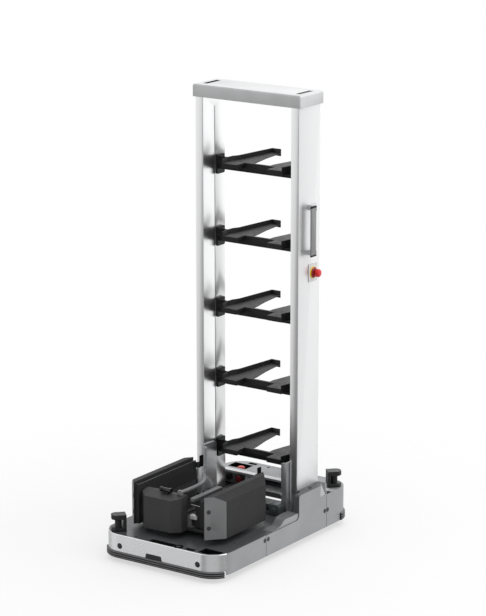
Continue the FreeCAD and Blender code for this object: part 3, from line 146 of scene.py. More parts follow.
class Paint:
    """A material under construction: its node tree and its Principled shader."""

    def __init__(self, name, specular=0.5):
        self.material = bpy.data.materials.new(name)
        self.material.use_nodes = True
        self.tree = self.material.node_tree
        self.shader = self.tree.nodes["Principled BSDF"]
        self.place = self.node("ShaderNodeTexCoord").outputs["Object"]
        self.set({"Specular IOR Level": specular})

    def node(self, kind, inputs=None, **settings):
        return add_node(self.tree, kind, inputs, **settings)

    def set(self, inputs):
        """Inputs of the Principled shader."""
        feed(self.tree, self.shader, inputs)

    def stretched(self, scale):
        return self.node("ShaderNodeMapping", {"Vector": self.place, "Scale": scale}).outputs["Vector"]

    def noise(self, scale, detail=3.0, vector=None, roughness=0.5):
        inputs = {"Vector": vector or self.place, "Scale": scale, "Detail": detail, "Roughness": roughness}
        return self.node("ShaderNodeTexNoise", inputs).outputs["Fac"]

    def spread(self, value, low, high, start=0.3, end=0.7):
        """A value between start and end of a noise, mapped to low and high."""
        inputs = {"Value": value, "From Min": start, "From Max": end, "To Min": low, "To Max": high}
        return self.node("ShaderNodeMapRange", inputs).outputs["Result"]

    def blend(self, share, first, second):
        inputs = {"Factor": share, "A": (*first, 1), "B": (*second, 1)}
        return self.node("ShaderNodeMix", inputs, data_type="RGBA").outputs["Result"]

    def bump(self, height, strength, distance):
        inputs = {"Height": height, "Strength": strength, "Distance": distance}
        self.set({"Normal": self.node("ShaderNodeBump", inputs).outputs["Normal"]})


def shade(colour, factor):
    return tuple(min(1.0, channel * factor) for channel in colour)


def powder_coat(name, colour, rough=0.45, metallic=0.0, relief=0.25, specular=0.4):
    """Sprayed finish: slow tone changes, orange-peel grain and slightly uneven gloss."""
    paint = Paint(name, specular)
    cloud = paint.spread(paint.noise(5.0, 2.0), 0, 1)
    paint.set({
        "Metallic": metallic,
        "Base Color": paint.blend(cloud, shade(colour, 0.93), shade(colour, 1.07)),
        "Roughness": paint.spread(paint.noise(38.0, 4.0), rough - 0.05, rough + 0.06),
    })
    paint.bump(paint.noise(1400, 2.0), relief, 0.12 * MM)
    return paint.material


def brushed_metal(name, colour, rough=0.3, along=(420, 420, 5), relief=0.12, metallic=1.0, streaks=1.0):
    """Drawn or brushed metal: long fine streaks in tone, gloss and relief."""
    paint = Paint(name)
    streak = paint.noise(1.0, 5.0, paint.stretched(along), 0.6)
    dark, light = shade(colour, 1 - 0.04 * streaks), shade(colour, 1 + 0.03 * streaks)
    paint.set({
        "Metallic": metallic,
        "Base Color": paint.blend(paint.spread(streak, 0, 1), dark, light),
        "Roughness": paint.spread(streak, rough - 0.05 * streaks, rough + 0.06 * streaks),
    })
    paint.bump(streak, relief, 0.08 * MM)
    return paint.material


def moulded(name, colour, rough=0.4, grain=2200, relief=0.2, coat=0.0, specular=0.35):
    """Moulded plastic or rubber with a fine spark-eroded grain."""
    paint = Paint(name, specular)
    cloud = paint.spread(paint.noise(22.0, 3.0), 0, 1)
    paint.set({
        "Coat Weight": coat,
        "Coat Roughness": 0.08,
        "Base Color": paint.blend(cloud, shade(colour, 0.9), shade(colour, 1.12)),
        "Roughness": paint.spread(paint.noise(70.0, 3.0), rough - 0.06, rough + 0.06),
    })
    paint.bump(paint.noise(grain, 1.0), relief, 0.15 * MM)
    return paint.material


def lens_glass(name, colour):
    """Dark window plastic with a faint cloud of tone under a clear coat."""
    paint = Paint(name, 0.3)
    tone = paint.noise(90.0, 2.0)
    paint.set({
        "Coat Weight": 0.35,
        "Coat Roughness": 0.06,
        "Base Color": paint.blend(tone, colour, shade(colour, 2.2)),
        "Roughness": paint.spread(tone, 0.16, 0.28),
    })
    return paint.material


POWDER_COATS = {
    "frame_black": dict(colour=(0.022, 0.022, 0.024), rough=0.5, specular=0.25),
    "deck_dark": dict(colour=(0.085, 0.089, 0.094), rough=0.33, metallic=0.2),
    "rear_deck_grey": dict(colour=(0.30, 0.31, 0.32), rough=0.4, metallic=0.15),
    "panel_grey": dict(colour=(0.292, 0.299, 0.307), rough=0.42, metallic=0.1),
    # Darker grey: the ramps' upward faces, and painted shade on the grip scoops' rear parts
    "ramp_grey": dict(colour=(0.15, 0.155, 0.16), rough=0.42, metallic=0.1, specular=0.3),
    "shelf_grey": dict(colour=(0.66, 0.67, 0.68), rough=0.36, metallic=0.2),
    "seam_dark": dict(colour=(0.05, 0.051, 0.053), rough=0.6, specular=0.1),
    # Dark grey: the port's lock and the knob field, painted shade on wall ledges, a cap slot, panel tops and
    # a plate edge, and a painted highlight on scanner tops
    "dark_trim": dict(colour=(0.085, 0.087, 0.089), metallic=0.1, specular=0.25),
    "motor_body": dict(colour=(0.075, 0.086, 0.090), rough=0.4, metallic=0.2),
    "cap_white": dict(colour=(0.615, 0.62, 0.625), rough=0.42, specular=0.2),
    # Mid grey of painted light: painted shade on the mast cap's front edge, a painted highlight on the grip
    # scoops
    "cap_edge": dict(colour=(0.44, 0.445, 0.45), rough=0.42, specular=0.3),
    "tray_black": dict(colour=(0.012, 0.012, 0.013), relief=0.35, specular=0.28),
    "handle_grey": dict(colour=(0.26, 0.26, 0.265), specular=0.25),
    "station_plate": dict(colour=(0.64, 0.64, 0.64), rough=0.4, specular=0.3),
    "carriage_black": dict(colour=(0.03, 0.031, 0.034), rough=0.4, metallic=0.2, specular=0.3),
    "picker_bed": dict(colour=(0.03, 0.03, 0.032), rough=0.42, specular=0.3),
    "arm_black": dict(colour=(0.032, 0.032, 0.033), rough=0.5, relief=0.35, specular=0.1),
    "end_cap_grey": dict(colour=(0.17, 0.172, 0.175), specular=0.25),
    "nose_black": dict(colour=(0.044, 0.044, 0.045), rough=0.5, relief=0.35, specular=0.18),
}
MAST_GRAIN = dict(along=(160, 160, 3), relief=0.01, streaks=0.12)
BRUSHED_METALS = {
    "cover_silver": dict(colour=(0.83, 0.835, 0.845), rough=0.22, along=(3, 3, 700), relief=0.03,
                         metallic=0.9, streaks=0.5),
    "controller_case": dict(colour=(0.30, 0.30, 0.32), rough=0.4, along=(3, 400, 400)),
    "mast_aluminium": dict(colour=(0.90, 0.905, 0.91), rough=0.29, **MAST_GRAIN),
    "mast_satin": dict(colour=(0.90, 0.905, 0.91), rough=0.5, **MAST_GRAIN),
    "rail_steel": dict(colour=(0.5, 0.5, 0.51), rough=0.25, along=(600, 600, 4)),
    "screw_steel": dict(colour=(0.045, 0.046, 0.048), rough=0.5, along=(300, 300, 300), metallic=0.2),
    "carriage_alloy": dict(colour=(0.50, 0.51, 0.52), rough=0.38, along=(700, 700, 4), relief=0.03,
                           metallic=0.8, streaks=0.4),
    "duct_grey": dict(colour=(0.13, 0.132, 0.135), rough=0.45, along=(700, 4, 700), relief=0.05,
                      metallic=0.5, streaks=0.6),
    "fork_steel": dict(colour=(0.07, 0.07, 0.073), rough=0.4, along=(600, 4, 600), metallic=0.5),
    "caster_steel": dict(colour=(0.35, 0.35, 0.37), along=(300, 300, 12)),
    # Bright alloy: the clamp and belt edge, and a painted reflection on the rear deck's front lip
    "lip_alloy": dict(colour=(0.72, 0.72, 0.73), rough=0.34, along=(4, 500, 500), metallic=0.4),
    # Bright steel: the flange screw heads, and a painted highlight on the inner panels' edges
    "edge_bright": dict(colour=(0.50, 0.50, 0.51), rough=0.35, along=(500, 4, 500), metallic=0.7),
}
MOULDINGS = {
    "bumper_rubber": dict(colour=(0.014, 0.014, 0.015), rough=0.36, specular=0.5),
    # Painted highlight on the bumper ribs' upward faces
    "rib_edge": dict(colour=(0.12, 0.12, 0.124), rough=0.5, specular=0.4),
    "battery_case": dict(colour=(0.03, 0.03, 0.033), rough=0.5),
    "scanner_black": dict(colour=(0.014, 0.014, 0.015), rough=0.42),
    "hose_grey": dict(colour=(0.17, 0.17, 0.175), rough=0.42, specular=0.3),
    "finger_black": dict(colour=(0.01, 0.01, 0.01), rough=0.5, specular=0.2),
    "wheel_tyre": dict(colour=(0.018, 0.018, 0.018), rough=0.6, grain=900, relief=0.5, specular=0.25),
    "caster_tread": dict(colour=(0.03, 0.03, 0.032), rough=0.55),
    "button_red": dict(colour=(0.60, 0.014, 0.014), rough=0.3, coat=0.3),
    # Red darkened as painted shade, for the reset button under the deck's lip
    "deep_red": dict(colour=(0.14, 0.006, 0.012), rough=0.35, coat=0.2),
    "skirt_red": dict(colour=(0.28, 0.009, 0.011), rough=0.35, coat=0.2),
    "ring_yellow": dict(colour=(0.82, 0.60, 0.04), rough=0.38),
    "knob_black": dict(colour=(0.010, 0.010, 0.011), rough=0.45, specular=0.25),
    # Near black: real black parts, and painted shade in sunk slots, pockets and under the bumper ribs
    "recess_black": dict(colour=(0.004, 0.004, 0.004), rough=0.75, specular=0.05),
}
WINDOWS = {"sensor_black": dict(colour=(0.004, 0.004, 0.005))}

MATERIALS = {}
for finish_of, finishes in ((powder_coat, POWDER_COATS), (brushed_metal, BRUSHED_METALS),
                            (moulded, MOULDINGS), (lens_glass, WINDOWS)):
    for finish_name, look in finishes.items():
        MATERIALS[finish_name] = finish_of(finish_name, **look)


# Making and finishing a piece

WELD_GAP = 0.002 * MM
FLAT_ANGLE = math.radians(0.3)
SHARP_ANGLE = math.radians(32)

# Nodes whose flat faces are joined, so that no triangle edge shows in a soft reflection
PLAIN_SHEETS = {
    "front_cover", "rear_cover", "front_deck", "rear_deck", "side_panels_front", "side_panels_middle",
    "control_shelf", "arm_cover_left", "arm_cover_right", "arm_end_caps", "nose_housing",
}


def welded(node):
    """A copy of a node's mesh with its loose triangles joined."""
    bm = bmesh.new()
    bm.from_mesh(NODES[node].data)
    bmesh.ops.remove_doubles(bm, verts=bm.verts, dist=WELD_GAP)
    if node in PLAIN_SHEETS:
        bmesh.ops.dissolve_limit(bm, angle_limit=FLAT_ANGLE, verts=bm.verts, edges=bm.edges)
    return bm


def cut_across(bm, place, normal, **options):
    """Split a mesh under construction along a plane."""
    geometry = bm.verts[:] + bm.edges[:] + bm.faces[:]
    bmesh.ops.bisect_plane(bm, geom=geometry, plane_co=place, plane_no=normal, **options)


def finished_mesh(name, bm):
    """The mesh of a bmesh, which is freed."""
    mesh = bpy.data.meshes.new(name)
    bm.to_mesh(mesh)
    bm.free()
    return mesh


def add_piece(name, shape, body, slot, replaces=(), material=None):
    """Link a mesh or a bmesh as a finished piece at the origin that rides on a body."""
    mesh = shape if isinstance(shape, bpy.types.Mesh) else finished_mesh(name, shape)
    mesh.materials.clear()
    mesh.materials.append(MATERIALS[material or slot])
    piece = linked(name, mesh)
    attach(piece, body)
    if replaces:
        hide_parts(*replaces)
    return piece


def smooth(mesh, sharp_degrees):
    """Smooth shading that breaks at sharp edges."""
    for polygon in mesh.polygons:
        polygon.use_smooth = True
    mesh.set_sharp_from_angle(angle=math.radians(sharp_degrees))


def curved_faces(mesh):
    """Faces of a rounded surface: they meet a neighbour at a small angle."""
    bm = bmesh.new()
    bm.from_mesh(mesh)
    found = set()
    for edge in bm.edges:
        if len(edge.link_faces) == 2 and FLAT_ANGLE < edge.calc_face_angle(0) < SHARP_ANGLE:
            found.update(face.index for face in edge.link_faces)
    bm.free()
    return found


def soften(piece, width, segments=2):
    """Rounded edges with flat faces left flat."""
    mesh = piece.data
    curved = curved_faces(mesh)
    for polygon in mesh.polygons:
        polygon.use_smooth = polygon.index in curved
    mesh.set_sharp_from_angle(angle=SHARP_ANGLE)
    bevel = piece.modifiers.new("edges", "BEVEL")
    bevel.width = width
    bevel.segments = segments
    bevel.limit_method = "ANGLE"
    bevel.angle_limit = SHARP_ANGLE
    bevel.harden_normals = True
    bevel.miter_outer = "MITER_ARC"


def paint_faces(piece, finish, test):
    """Give the faces whose centre and normal pass the test another finish."""
    mesh = piece.data
    mesh.materials.append(MATERIALS[finish])
    index = len(mesh.materials) - 1
    for polygon in mesh.polygons:
        if test(polygon.center, polygon.normal):
            polygon.material_index = index


# Pieces made from the CAD nodes: the width of each one's soft edges, in millimetres

SOFT_EDGES = {
    "front_deck": 0.6, "front_cover": 0.6, "side_panels_front": 1.2, "side_panels_middle": 1.4,
    "rear_cover": 1.2, "rear_deck": 0.6, "control_shelf": 0.6, "deck_fairings": 1.2, "lift_motor": 1.2,
    "mast_uprights": 0.5, "mast_cap": 0.6, **{f"tray_{level}": 0.8 for level in range(1, 6)},
    "carriage_columns": 0.7, "carriage_platform": 0.8, "picker_base": 0.6,
    "arm_cover_left": 1.0, "arm_cover_right": 1.0, "arm_end_caps": 0.6, "inner_panels": 0.6,
    "nose_housing": 1.2, "cable_duct": 0.8, "fork_drive": 1.0, "fork_mid_left": 0.6, "fork_mid_right": 0.6,
    "fork_tip_left": 0.6, "fork_tip_right": 0.6, "finger_left": 0.6, "finger_right": 0.6, "handle": 0.8,
    "chassis": 0.8, "battery": 1.5, "controller": 0.8, "drive_motors": 1.0, "scanners": 1.2,
    "picker_camera": 0.5, "power_knob": 0.5, "front_sensors": 0.4,
}
PIECES = {node: add_piece(node + "_body", welded(node), BODY_OF[node], SLOT_OF[node], [node])
          for node in SOFT_EDGES}

# Limits that pick out the faces with a finish of their own, painted light and shade among them. A face faces
# an axis where its normal's share along it is over FACING.
FACING = 0.7
SUNK = 0.8 * MM
DECK_RIM = 10 * MM
DECK_NOSE = 6 * MM
REAR_LIP = 27 * MM
CAP_SLOT_DEPTH = 3.5 * MM
CAP_SLOT_X = (260 * MM, 320 * MM)
CAP_SLOT_Y = (190 * MM, 340 * MM)
CAP_SHADE_HEIGHT = 13 * MM
CAP_SHADE_DEPTH = 14 * MM
KNOB_FIELD_DROP = 40 * MM
KNOB_FIELD_SIDE = -180 * MM
POST_HEIGHT = 25 * MM
POST_FOOT = 48 * MM
HANDLE_END = 9 * MM
HANDLE_BAR_DEPTH = 9.7 * MM
HANDLE_BAR_WIDTH = 45.2 * MM


def paint_decks():
    """Painted shade: black inside sunk slots and pockets. Painted reflection: a bright metal finish on the
    rear lip.
    """
    rim, nose = HALF_WIDTH - DECK_RIM, -HALF_LENGTH + DECK_NOSE
    # Painted shade: faces inside the front deck's sunk slots and pockets are black
    paint_faces(PIECES["front_deck"], "recess_black", lambda c, n: (
        c.z < FRONT_DECK_TOP - SUNK / 2 and n.z > -0.5 and abs(c.x) < rim and c.y > nose))
    rear = PIECES["rear_deck"]
    lip_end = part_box("rear_deck")[0][1] + REAR_LIP
    # Painted shade: faces inside the rear deck's sunk panel are black
    paint_faces(rear, "recess_black", lambda c, n: (
        c.y > lip_end and c.z < REAR_DECK_TOP - SUNK / 2 and n.z > -0.5))
    # Painted reflection: the rear lip's upward faces get a brighter, more metallic finish
    paint_faces(rear, "lip_alloy", lambda c, n: c.y < lip_end and n.z > 0.5)


def paint_mast():
    """Satin outer faces, painted shade in the cap's two sunk slots and on the cap's front edge."""
    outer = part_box("mast_uprights")[1][0] - 0.1 * MM
    paint_faces(PIECES["mast_uprights"], "mast_satin", lambda c, n: abs(n.x) > 0.9 and abs(c.x) > outer)
    cap = PIECES["mast_cap"]
    (_, front, _), (_, _, top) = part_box("mast_cap")
    # Painted shade: the left slot is black inside, the right one dark grey
    for finish, side in (("recess_black", -1), ("dark_trim", 1)):
        paint_faces(cap, finish, lambda c, n, side=side: (
            top - CAP_SLOT_DEPTH < c.z < top - SUNK
            and CAP_SLOT_X[0] < side * c.x < CAP_SLOT_X[1] and CAP_SLOT_Y[0] < c.y < CAP_SLOT_Y[1]))
    # Painted shade: the cap's front edge is a darker grey than its top
    paint_faces(cap, "cap_edge", lambda c, n: (
        c.z > top - CAP_SHADE_HEIGHT and c.y < front + CAP_SHADE_DEPTH and n.y < -0.3 and 0.2 < n.z < 0.95))


def paint_base():
    """Painted shade on the walls' ledges, darker ramps, a painted highlight on scanner tops, the power knob's
    field.
    """
    # Painted shade: the walls' upward faces and their front faces above the deck are darker
    paint_faces(PIECES["side_panels_middle"], "dark_trim", lambda c, n: (
        n.z > FACING or n.y < -FACING and c.z > FRONT_DECK_TOP))
    # The ramps' upward faces are darker
    paint_faces(PIECES["deck_fairings"], "ramp_grey", lambda c, n: n.z > 0.3)
    # Painted highlight: the scanners' top faces are lighter than their black body
    scanner_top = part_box("scanners")[1][2] - 2 * MM
    paint_faces(PIECES["scanners"], "dark_trim", lambda c, n: n.z > FACING and c.z > scanner_top)
    field_bottom = middle_of("power_knob")[2] - KNOB_FIELD_DROP
    paint_faces(PIECES["control_shelf"], "dark_trim", lambda c, n: (
        n.y < -FACING and c.z > field_bottom and c.x < KNOB_FIELD_SIDE))


def paint_picker():
    """End caps' flanks, painted highlight and shade on the inner panels, their sensor posts, the nose's hose
    socket.
    """
    paint_faces(PIECES["arm_end_caps"], "arm_black", lambda c, n: n.y > -0.5)
    panels = PIECES["inner_panels"]
    fork_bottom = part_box("fork_mid_left")[0][2]
    panel_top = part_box("inner_panels")[1][2] - POST_HEIGHT
    # Painted highlight: a bright line on the inner panels' upward faces at the forks' bottom
    paint_faces(panels, "edge_bright", lambda c, n: n.z > FACING and abs(c.z - fork_bottom) < 2 * MM)
    # Painted shade: the inner panels' tops, in the gap below the arm covers, are dark
    paint_faces(panels, "dark_trim", lambda c, n: n.z > FACING and abs(c.z - panel_top) < 1 * MM)
    post_ys = [vert.co.y for vert in panels.data.vertices if vert.co.z > panel_top + 2 * MM]
    front, back = min(post_ys) - 0.5 * MM, max(post_ys) + 0.5 * MM
    paint_faces(panels, "recess_black", lambda c, n: (
        c.z > panel_top + 1 * MM or c.z > panel_top - POST_FOOT and front < c.y < back))
    paint_faces(PIECES["nose_housing"], "hose_grey", lambda c, n: c.z > NOSE_TOP + 1 * MM)


def paint_handle():
    """White brackets and a bar with dark ends, whose faces are split where the ends start."""
    piece = PIECES["handle"]
    (_, front, bottom), (outer, _, top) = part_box("handle")
    bottom_end, top_end = bottom + HANDLE_END, top - HANDLE_END
    bm = bmesh.new()
    bm.from_mesh(piece.data)
    for height in (bottom_end, top_end):
        cut_across(bm, (0, 0, height), UP)
    bm.to_mesh(piece.data)
    bm.free()
    bar_start, bar_back = outer - HANDLE_BAR_DEPTH, front + HANDLE_BAR_WIDTH
    paint_faces(piece, "knob_black", lambda c, n: (
        c.x > bar_start and c.y < bar_back and not bottom_end <= c.z <= top_end))
    paint_faces(piece, "cap_white", lambda c, n: c.y > bar_back or c.x < bar_start)


paint_decks()
paint_mast()
paint_base()
paint_picker()
paint_handle()
for softened, edge_width in SOFT_EDGES.items():
    soften(PIECES[softened], edge_width * MM)


# Turned pieces: their outlines are (along, radius) points in millimetres, as are the sizes below

TURN_STEPS = 64
DOME_STEPS = 10
MUSHROOM_HEIGHT = 24
STOP_SEAT = 23
DECK_STOP_SEAT = 5


def turned(name, outline, place, axis, body, slot, replaces=(), material=None):
    """Spin an (along, radius) outline about an axis through a place into a closed mesh."""
    bm = bmesh.new()
    circle = [2 * math.pi * i / TURN_STEPS for i in range(TURN_STEPS)]
    rings = []
    for along, radius in outline:
        turns = circle if radius else circle[:1]
        rings.append([bm.verts.new((radius * MM * math.cos(a), radius * MM * math.sin(a), along * MM))
                      for a in turns])
    for first, second in zip(rings, rings[1:]):
        for i in range(TURN_STEPS):
            j = (i + 1) % TURN_STEPS
            corners = (first[i % len(first)], first[j % len(first)],
                       second[j % len(second)], second[i % len(second)])
            bm.faces.new(list(dict.fromkeys(corners)))
    bmesh.ops.recalc_face_normals(bm, faces=bm.faces)
    turn = Vector(UP).rotation_difference(Vector(axis)).to_matrix().to_4x4()
    bmesh.ops.transform(bm, matrix=Matrix.Translation(place) @ turn, verts=bm.verts)
    piece = add_piece(name, bm, body, slot, replaces, material)
    smooth(piece.data, 38)
    return piece


def dome(start, height, radius):
    """Outline of a rounded cap: up its side, over its shoulder and in to its middle."""
    rows = []
    for i in range(DOME_STEPS):
        angle = math.pi / 2 * i / DOME_STEPS
        rows.append((start + height * math.sin(angle), radius * math.cos(angle) ** 0.6))
    return rows + [(start + height, 0)]


def mushroom(name, node, place, axis, seat):
    """Push button with a waisted foot, a grooved rim and a domed top, seated above its place."""
    foot = [(-4, 0), (-4, 7.9), (seat, 7.9), (seat + 0.5, 17.5), (seat + 4, 18.5), (seat + 5, 20.6),
            (seat + 12, 21)]
    top = dome(seat + 13, MUSHROOM_HEIGHT - 13, 21)
    turned(name, foot + top, place, axis, BODY_OF[node], SLOT_OF[node], [node])


def make_stop_buttons():
    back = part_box("stop_station")[0][0]
    _, y, z = middle_of("stop_station")
    mushroom("stop_button_cap", "stop_button", (back, y, z), RIGHT, STOP_SEAT)
    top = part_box("deck_stop_button")[1][2]
    x, y, _ = middle_of("deck_stop_button")
    place = (x, y, top - (DECK_STOP_SEAT + MUSHROOM_HEIGHT) * MM)
    mushroom("deck_stop_button_cap", "deck_stop_button", place, UP, DECK_STOP_SEAT)


def make_reset_button():
    """Dished red face, darkened as painted shade, in a black rim, on a stem."""
    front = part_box("reset_button")[0][1]
    x, _, z = middle_of("reset_button")
    outline = [(0.1, 0), (0.1, 12), (0.9, 15.5), (3, 17.6), (3.4, 18.8), (11.5, 18.8), (12, 18.2),
               (12, 4.9), (39, 4.9), (39, 0)]
    # Painted shade: the button's red is darkened, as it sits under the deck's lip
    piece = turned("reset_button_cap", outline, (x, front, z), BACK, BODY_OF["reset_button"], "button_red",
                   ["reset_button"], "deep_red")
    paint_faces(piece, "knob_black", lambda c, n: c.y > front + 3.2 * MM)


def make_stop_station():
    """Bare plate with a yellow collar, a red skirt round the stop button and painted shade on its front edge.
    """
    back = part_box("stop_station")[0][0]
    plate = add_piece("stop_station_plate", welded("stop_station"), BODY_OF["stop_station"], "station_plate",
                      ["stop_station"])
    plate_face, skirt_start = back + 2.6 * MM, back + 9 * MM
    paint_faces(plate, "ring_yellow", lambda c, n: c.x > plate_face)
    paint_faces(plate, "skirt_red", lambda c, n: c.x > skirt_start)
    # Painted shade: the plate's front-facing faces are dark grey
    paint_faces(plate, "dark_trim", lambda c, n: n.y < -FACING and c.x < plate_face)
    soften(plate, 0.5 * MM)


make_stop_buttons()
make_reset_button()
make_stop_station()


# Small details that the CAD solids lack: the fork drive's clamp and belt edge, the deck's port and sensor
# strip, the panel seams, the painted light and shade of the grip scoops and the reset button's collar

CLAMP_CORNERS = ((0.062, -0.420, 0.238), (0.103, -0.396, 0.258))
BELT_EDGE_CORNERS = ((0.064, -0.4115, 0.309), (0.122, -0.4095, 0.3125))
PORT_PLACE = (0.107, -0.578)
STRIP_PLACE = (0.180, -0.578)
STRIP_SIZE = (52 * MM, 24 * MM)
SEAM_WIDTH = 2.6 * MM
SEAM_PROUD = 0.15 * MM
# Corners of a grip scoop's painted light plate as (y, z)
GRIP_CORNERS = ((0.300, 0.215), (0.346, 0.215), (0.346, 0.273), (0.304, 0.288))
GRIP_SHADE_START = 0.328


def block(name, low, high, body, slot, edge, material):
    """Block between two corners, with rounded edges given in millimetres."""
    bm = bmesh.new()
    bmesh.ops.create_cube(bm, size=1)
    bmesh.ops.scale(bm, vec=[b - a for a, b in zip(low, high)], verts=bm.verts)
    bmesh.ops.translate(bm, vec=[(a + b) / 2 for a, b in zip(low, high)], verts=bm.verts)
    soften(add_piece(name, bm, body, slot, material=material), edge * MM, segments=3)


def make_drive_details():
    block("fork_motor_clamp", *CLAMP_CORNERS, "picker", "duct_grey", 1.5, "lip_alloy")
    block("belt_run_edge", *BELT_EDGE_CORNERS, "picker", "duct_grey", 0.5, "lip_alloy")


def make_deck_trim():
    """Raised rim of the deck's round port and the black sensor strip beside it."""
    port = (*PORT_PLACE, FRONT_DECK_TOP)
    rim = [(-1, 13), (1.6, 13), (2.4, 15), (2.4, 22), (1.4, 24.5), (-1, 24.5), (-1, 13)]
    turned("port_rim", rim, port, UP, "base", "deck_dark", material="recess_black")
    lock = [(-1, 0), (-1, 8), (1.5, 8), (2, 7), (2, 0)]
    turned("port_lock", lock, port, UP, "base", "deck_dark", material="dark_trim")
    (x, y), (width, depth) = STRIP_PLACE, STRIP_SIZE
    low = (x - width / 2, y - depth / 2, FRONT_DECK_TOP - 1 * MM)
    high = (x + width / 2, y + depth / 2, FRONT_DECK_TOP + 0.6 * MM)
    block("sensor_strip", low, high, "base", "sensor_black", 0.4, "recess_black")


def make_seams(side, name):
    """Dark joints between the panels of one side."""
    front_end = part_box("side_panels_front")[1][1]
    rear_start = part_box("rear_cover")[0][1]
    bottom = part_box("side_panels_middle")[0][2] + 1 * MM
    inner, outer = sorted((side * (HALF_WIDTH - 1 * MM), side * (HALF_WIDTH + SEAM_PROUD)))
    for label, y, top in (("front", front_end, FRONT_DECK_TOP), ("rear", rear_start, REAR_DECK_TOP)):
        block(f"panel_seam_{label}_{name}", (inner, y - SEAM_WIDTH / 2, bottom),
              (outer, y + SEAM_WIDTH / 2, top - 2 * MM), "base", "panel_grey", 0.1, "seam_dark")


def make_grip_scoop_light(side, name):
    """Thin plate shaped as a grip scoop on one wall: a painted highlight, with painted shade on its rear
    part.
    """
    bm = bmesh.new()
    inner = [bm.verts.new((side * (HALF_WIDTH - 0.5 * MM), y, z)) for y, z in GRIP_CORNERS]
    outer = [bm.verts.new((side * (HALF_WIDTH + 0.3 * MM), y, z)) for y, z in GRIP_CORNERS]
    bm.faces.new(inner)
    bm.faces.new(outer[:2] + outer[3:])
    bm.faces.new(outer[1:])
    for i in range(len(GRIP_CORNERS)):
        bm.faces.new((inner[i], inner[i - 1], outer[i - 1], outer[i]))
    bmesh.ops.recalc_face_normals(bm, faces=bm.faces)
    # Painted highlight: the plate is lighter than the wall; painted shade on its rear part
    grip = add_piece("grip_scoop_light_" + name, bm, "base", "panel_grey", material="cap_edge")
    paint_faces(grip, "ramp_grey", lambda c, n: c.y > GRIP_SHADE_START)


def make_reset_collar():
    """Raised ring round the reset button."""
    x, _, z = middle_of("reset_button")
    outline = [(0.5, 19.6), (-6, 19.6), (-7.5, 21), (-7.5, 24), (-5, 26), (0.5, 26), (0.5, 19.6)]
    turned("reset_collar", outline, (x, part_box("control_shelf")[0][1], z), BACK, "base", "knob_black")


make_drive_details()
make_deck_trim()
for side_sign, side_name in SIDES:
    make_seams(side_sign, side_name)
    make_grip_scoop_light(side_sign, side_name)
make_reset_collar()


# Hose from the nose to the carriage: its route is that of its CAD solids, nose end first, and it ends on
# the carriage columns' front

HOSE_RADIUS = 9 * MM
HOSE_ROUTE = [
    (0.027, -0.444, 0.377),
    (0.037, -0.330, 0.377),
    (-0.005, -0.190, 0.366),
    (-0.194, 0.050, 0.314),
    (-0.248, 0.146, 0.296),
]


def hose_mesh():
    """Tube along the route, as a plain mesh."""
    curve = bpy.data.curves.new("hose_line", "CURVE")
    curve.dimensions = "3D"
    curve.bevel_depth = HOSE_RADIUS
    curve.bevel_resolution = 8
    curve.resolution_u = 24
    curve.use_fill_caps = True
    spline = curve.splines.new("NURBS")
    spline.points.add(len(HOSE_ROUTE) - 1)
    for point, place in zip(spline.points, HOSE_ROUTE):
        point.co = (*place, 1)
    spline.order_u = 3
    spline.use_endpoint_u = True
    line = linked("hose_line", curve)
    bpy.context.view_layer.update()
    mesh = bpy.data.meshes.new_from_object(line)
    bpy.data.objects.remove(line)
    mesh.name = "hose"
    return mesh


def make_hose():
    mesh = hose_mesh()
    bm = bmesh.new()
    bm.from_mesh(mesh)
    cut_across(bm, (0, COLUMN_FRONT, 0), BACK, clear_outer=True)
    bmesh.ops.holes_fill(bm, edges=[edge for edge in bm.edges if edge.is_boundary])
    bmesh.ops.recalc_face_normals(bm, faces=bm.faces)
    bm.to_mesh(mesh)
    bm.free()
    smooth(mesh, 50)
    mesh.materials.clear()
    mesh.materials.append(MATERIALS["hose_grey"])
    hose = linked("hose", mesh)
    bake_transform(hose)
    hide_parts("hose_turning", "hose_fixed")


make_hose()


# Geometry Nodes: screw heads on points and the ribbed bumpers along their paths

class ShapeTree:
    """A Geometry Nodes tree under construction, with named inputs for its sizes."""

    def __init__(self, name, sizes):
        self.tree = bpy.data.node_groups.new(name, "GeometryNodeTree")
        face = self.tree.interface
        face.new_socket("Geometry", in_out="INPUT", socket_type="NodeSocketGeometry")
        self.keys = {}
        for label, (kind, value) in sizes.items():
            socket = face.new_socket(label, in_out="INPUT", socket_type="NodeSocket" + kind)
            if value is not None:
                socket.default_value = value
            self.keys[label] = socket.identifier
        face.new_socket("Geometry", in_out="OUTPUT", socket_type="NodeSocketGeometry")
        self.given = self.node("NodeGroupInput").outputs
        self.end = self.node("NodeGroupOutput")

    def node(self, kind, inputs=None, **settings):
        return add_node(self.tree, kind, inputs, **settings)

    def math(self, operation, *values):
        return add_math(self.tree, operation, *values)

    def finish(self, geometry):
        """Whole mesh with its material."""
        whole = self.node("GeometryNodeRealizeInstances", {"Geometry": geometry}).outputs["Geometry"]
        dressed = self.node("GeometryNodeSetMaterial", {"Geometry": whole, "Material": self.given["Finish"]})
        feed(self.tree, self.end, {"Geometry": dressed.outputs["Geometry"]})

    def shape(self, name, mesh, values):
        """Plain mesh that this tree makes of a starting mesh and the given sizes."""
        carrier = linked(name + "_start", mesh)
        modifier = carrier.modifiers.new("shape", "NODES")
        modifier.node_group = self.tree
        for label, value in values.items():
            modifier[self.keys[label]] = value
        bpy.context.view_layer.update()
        ready = carrier.evaluated_get(bpy.context.evaluated_depsgraph_get())
        made = bpy.data.meshes.new_from_object(ready)
        carrier.modifiers.clear()
        bpy.data.objects.remove(carrier)
        made.name = name
        return made


# Screws

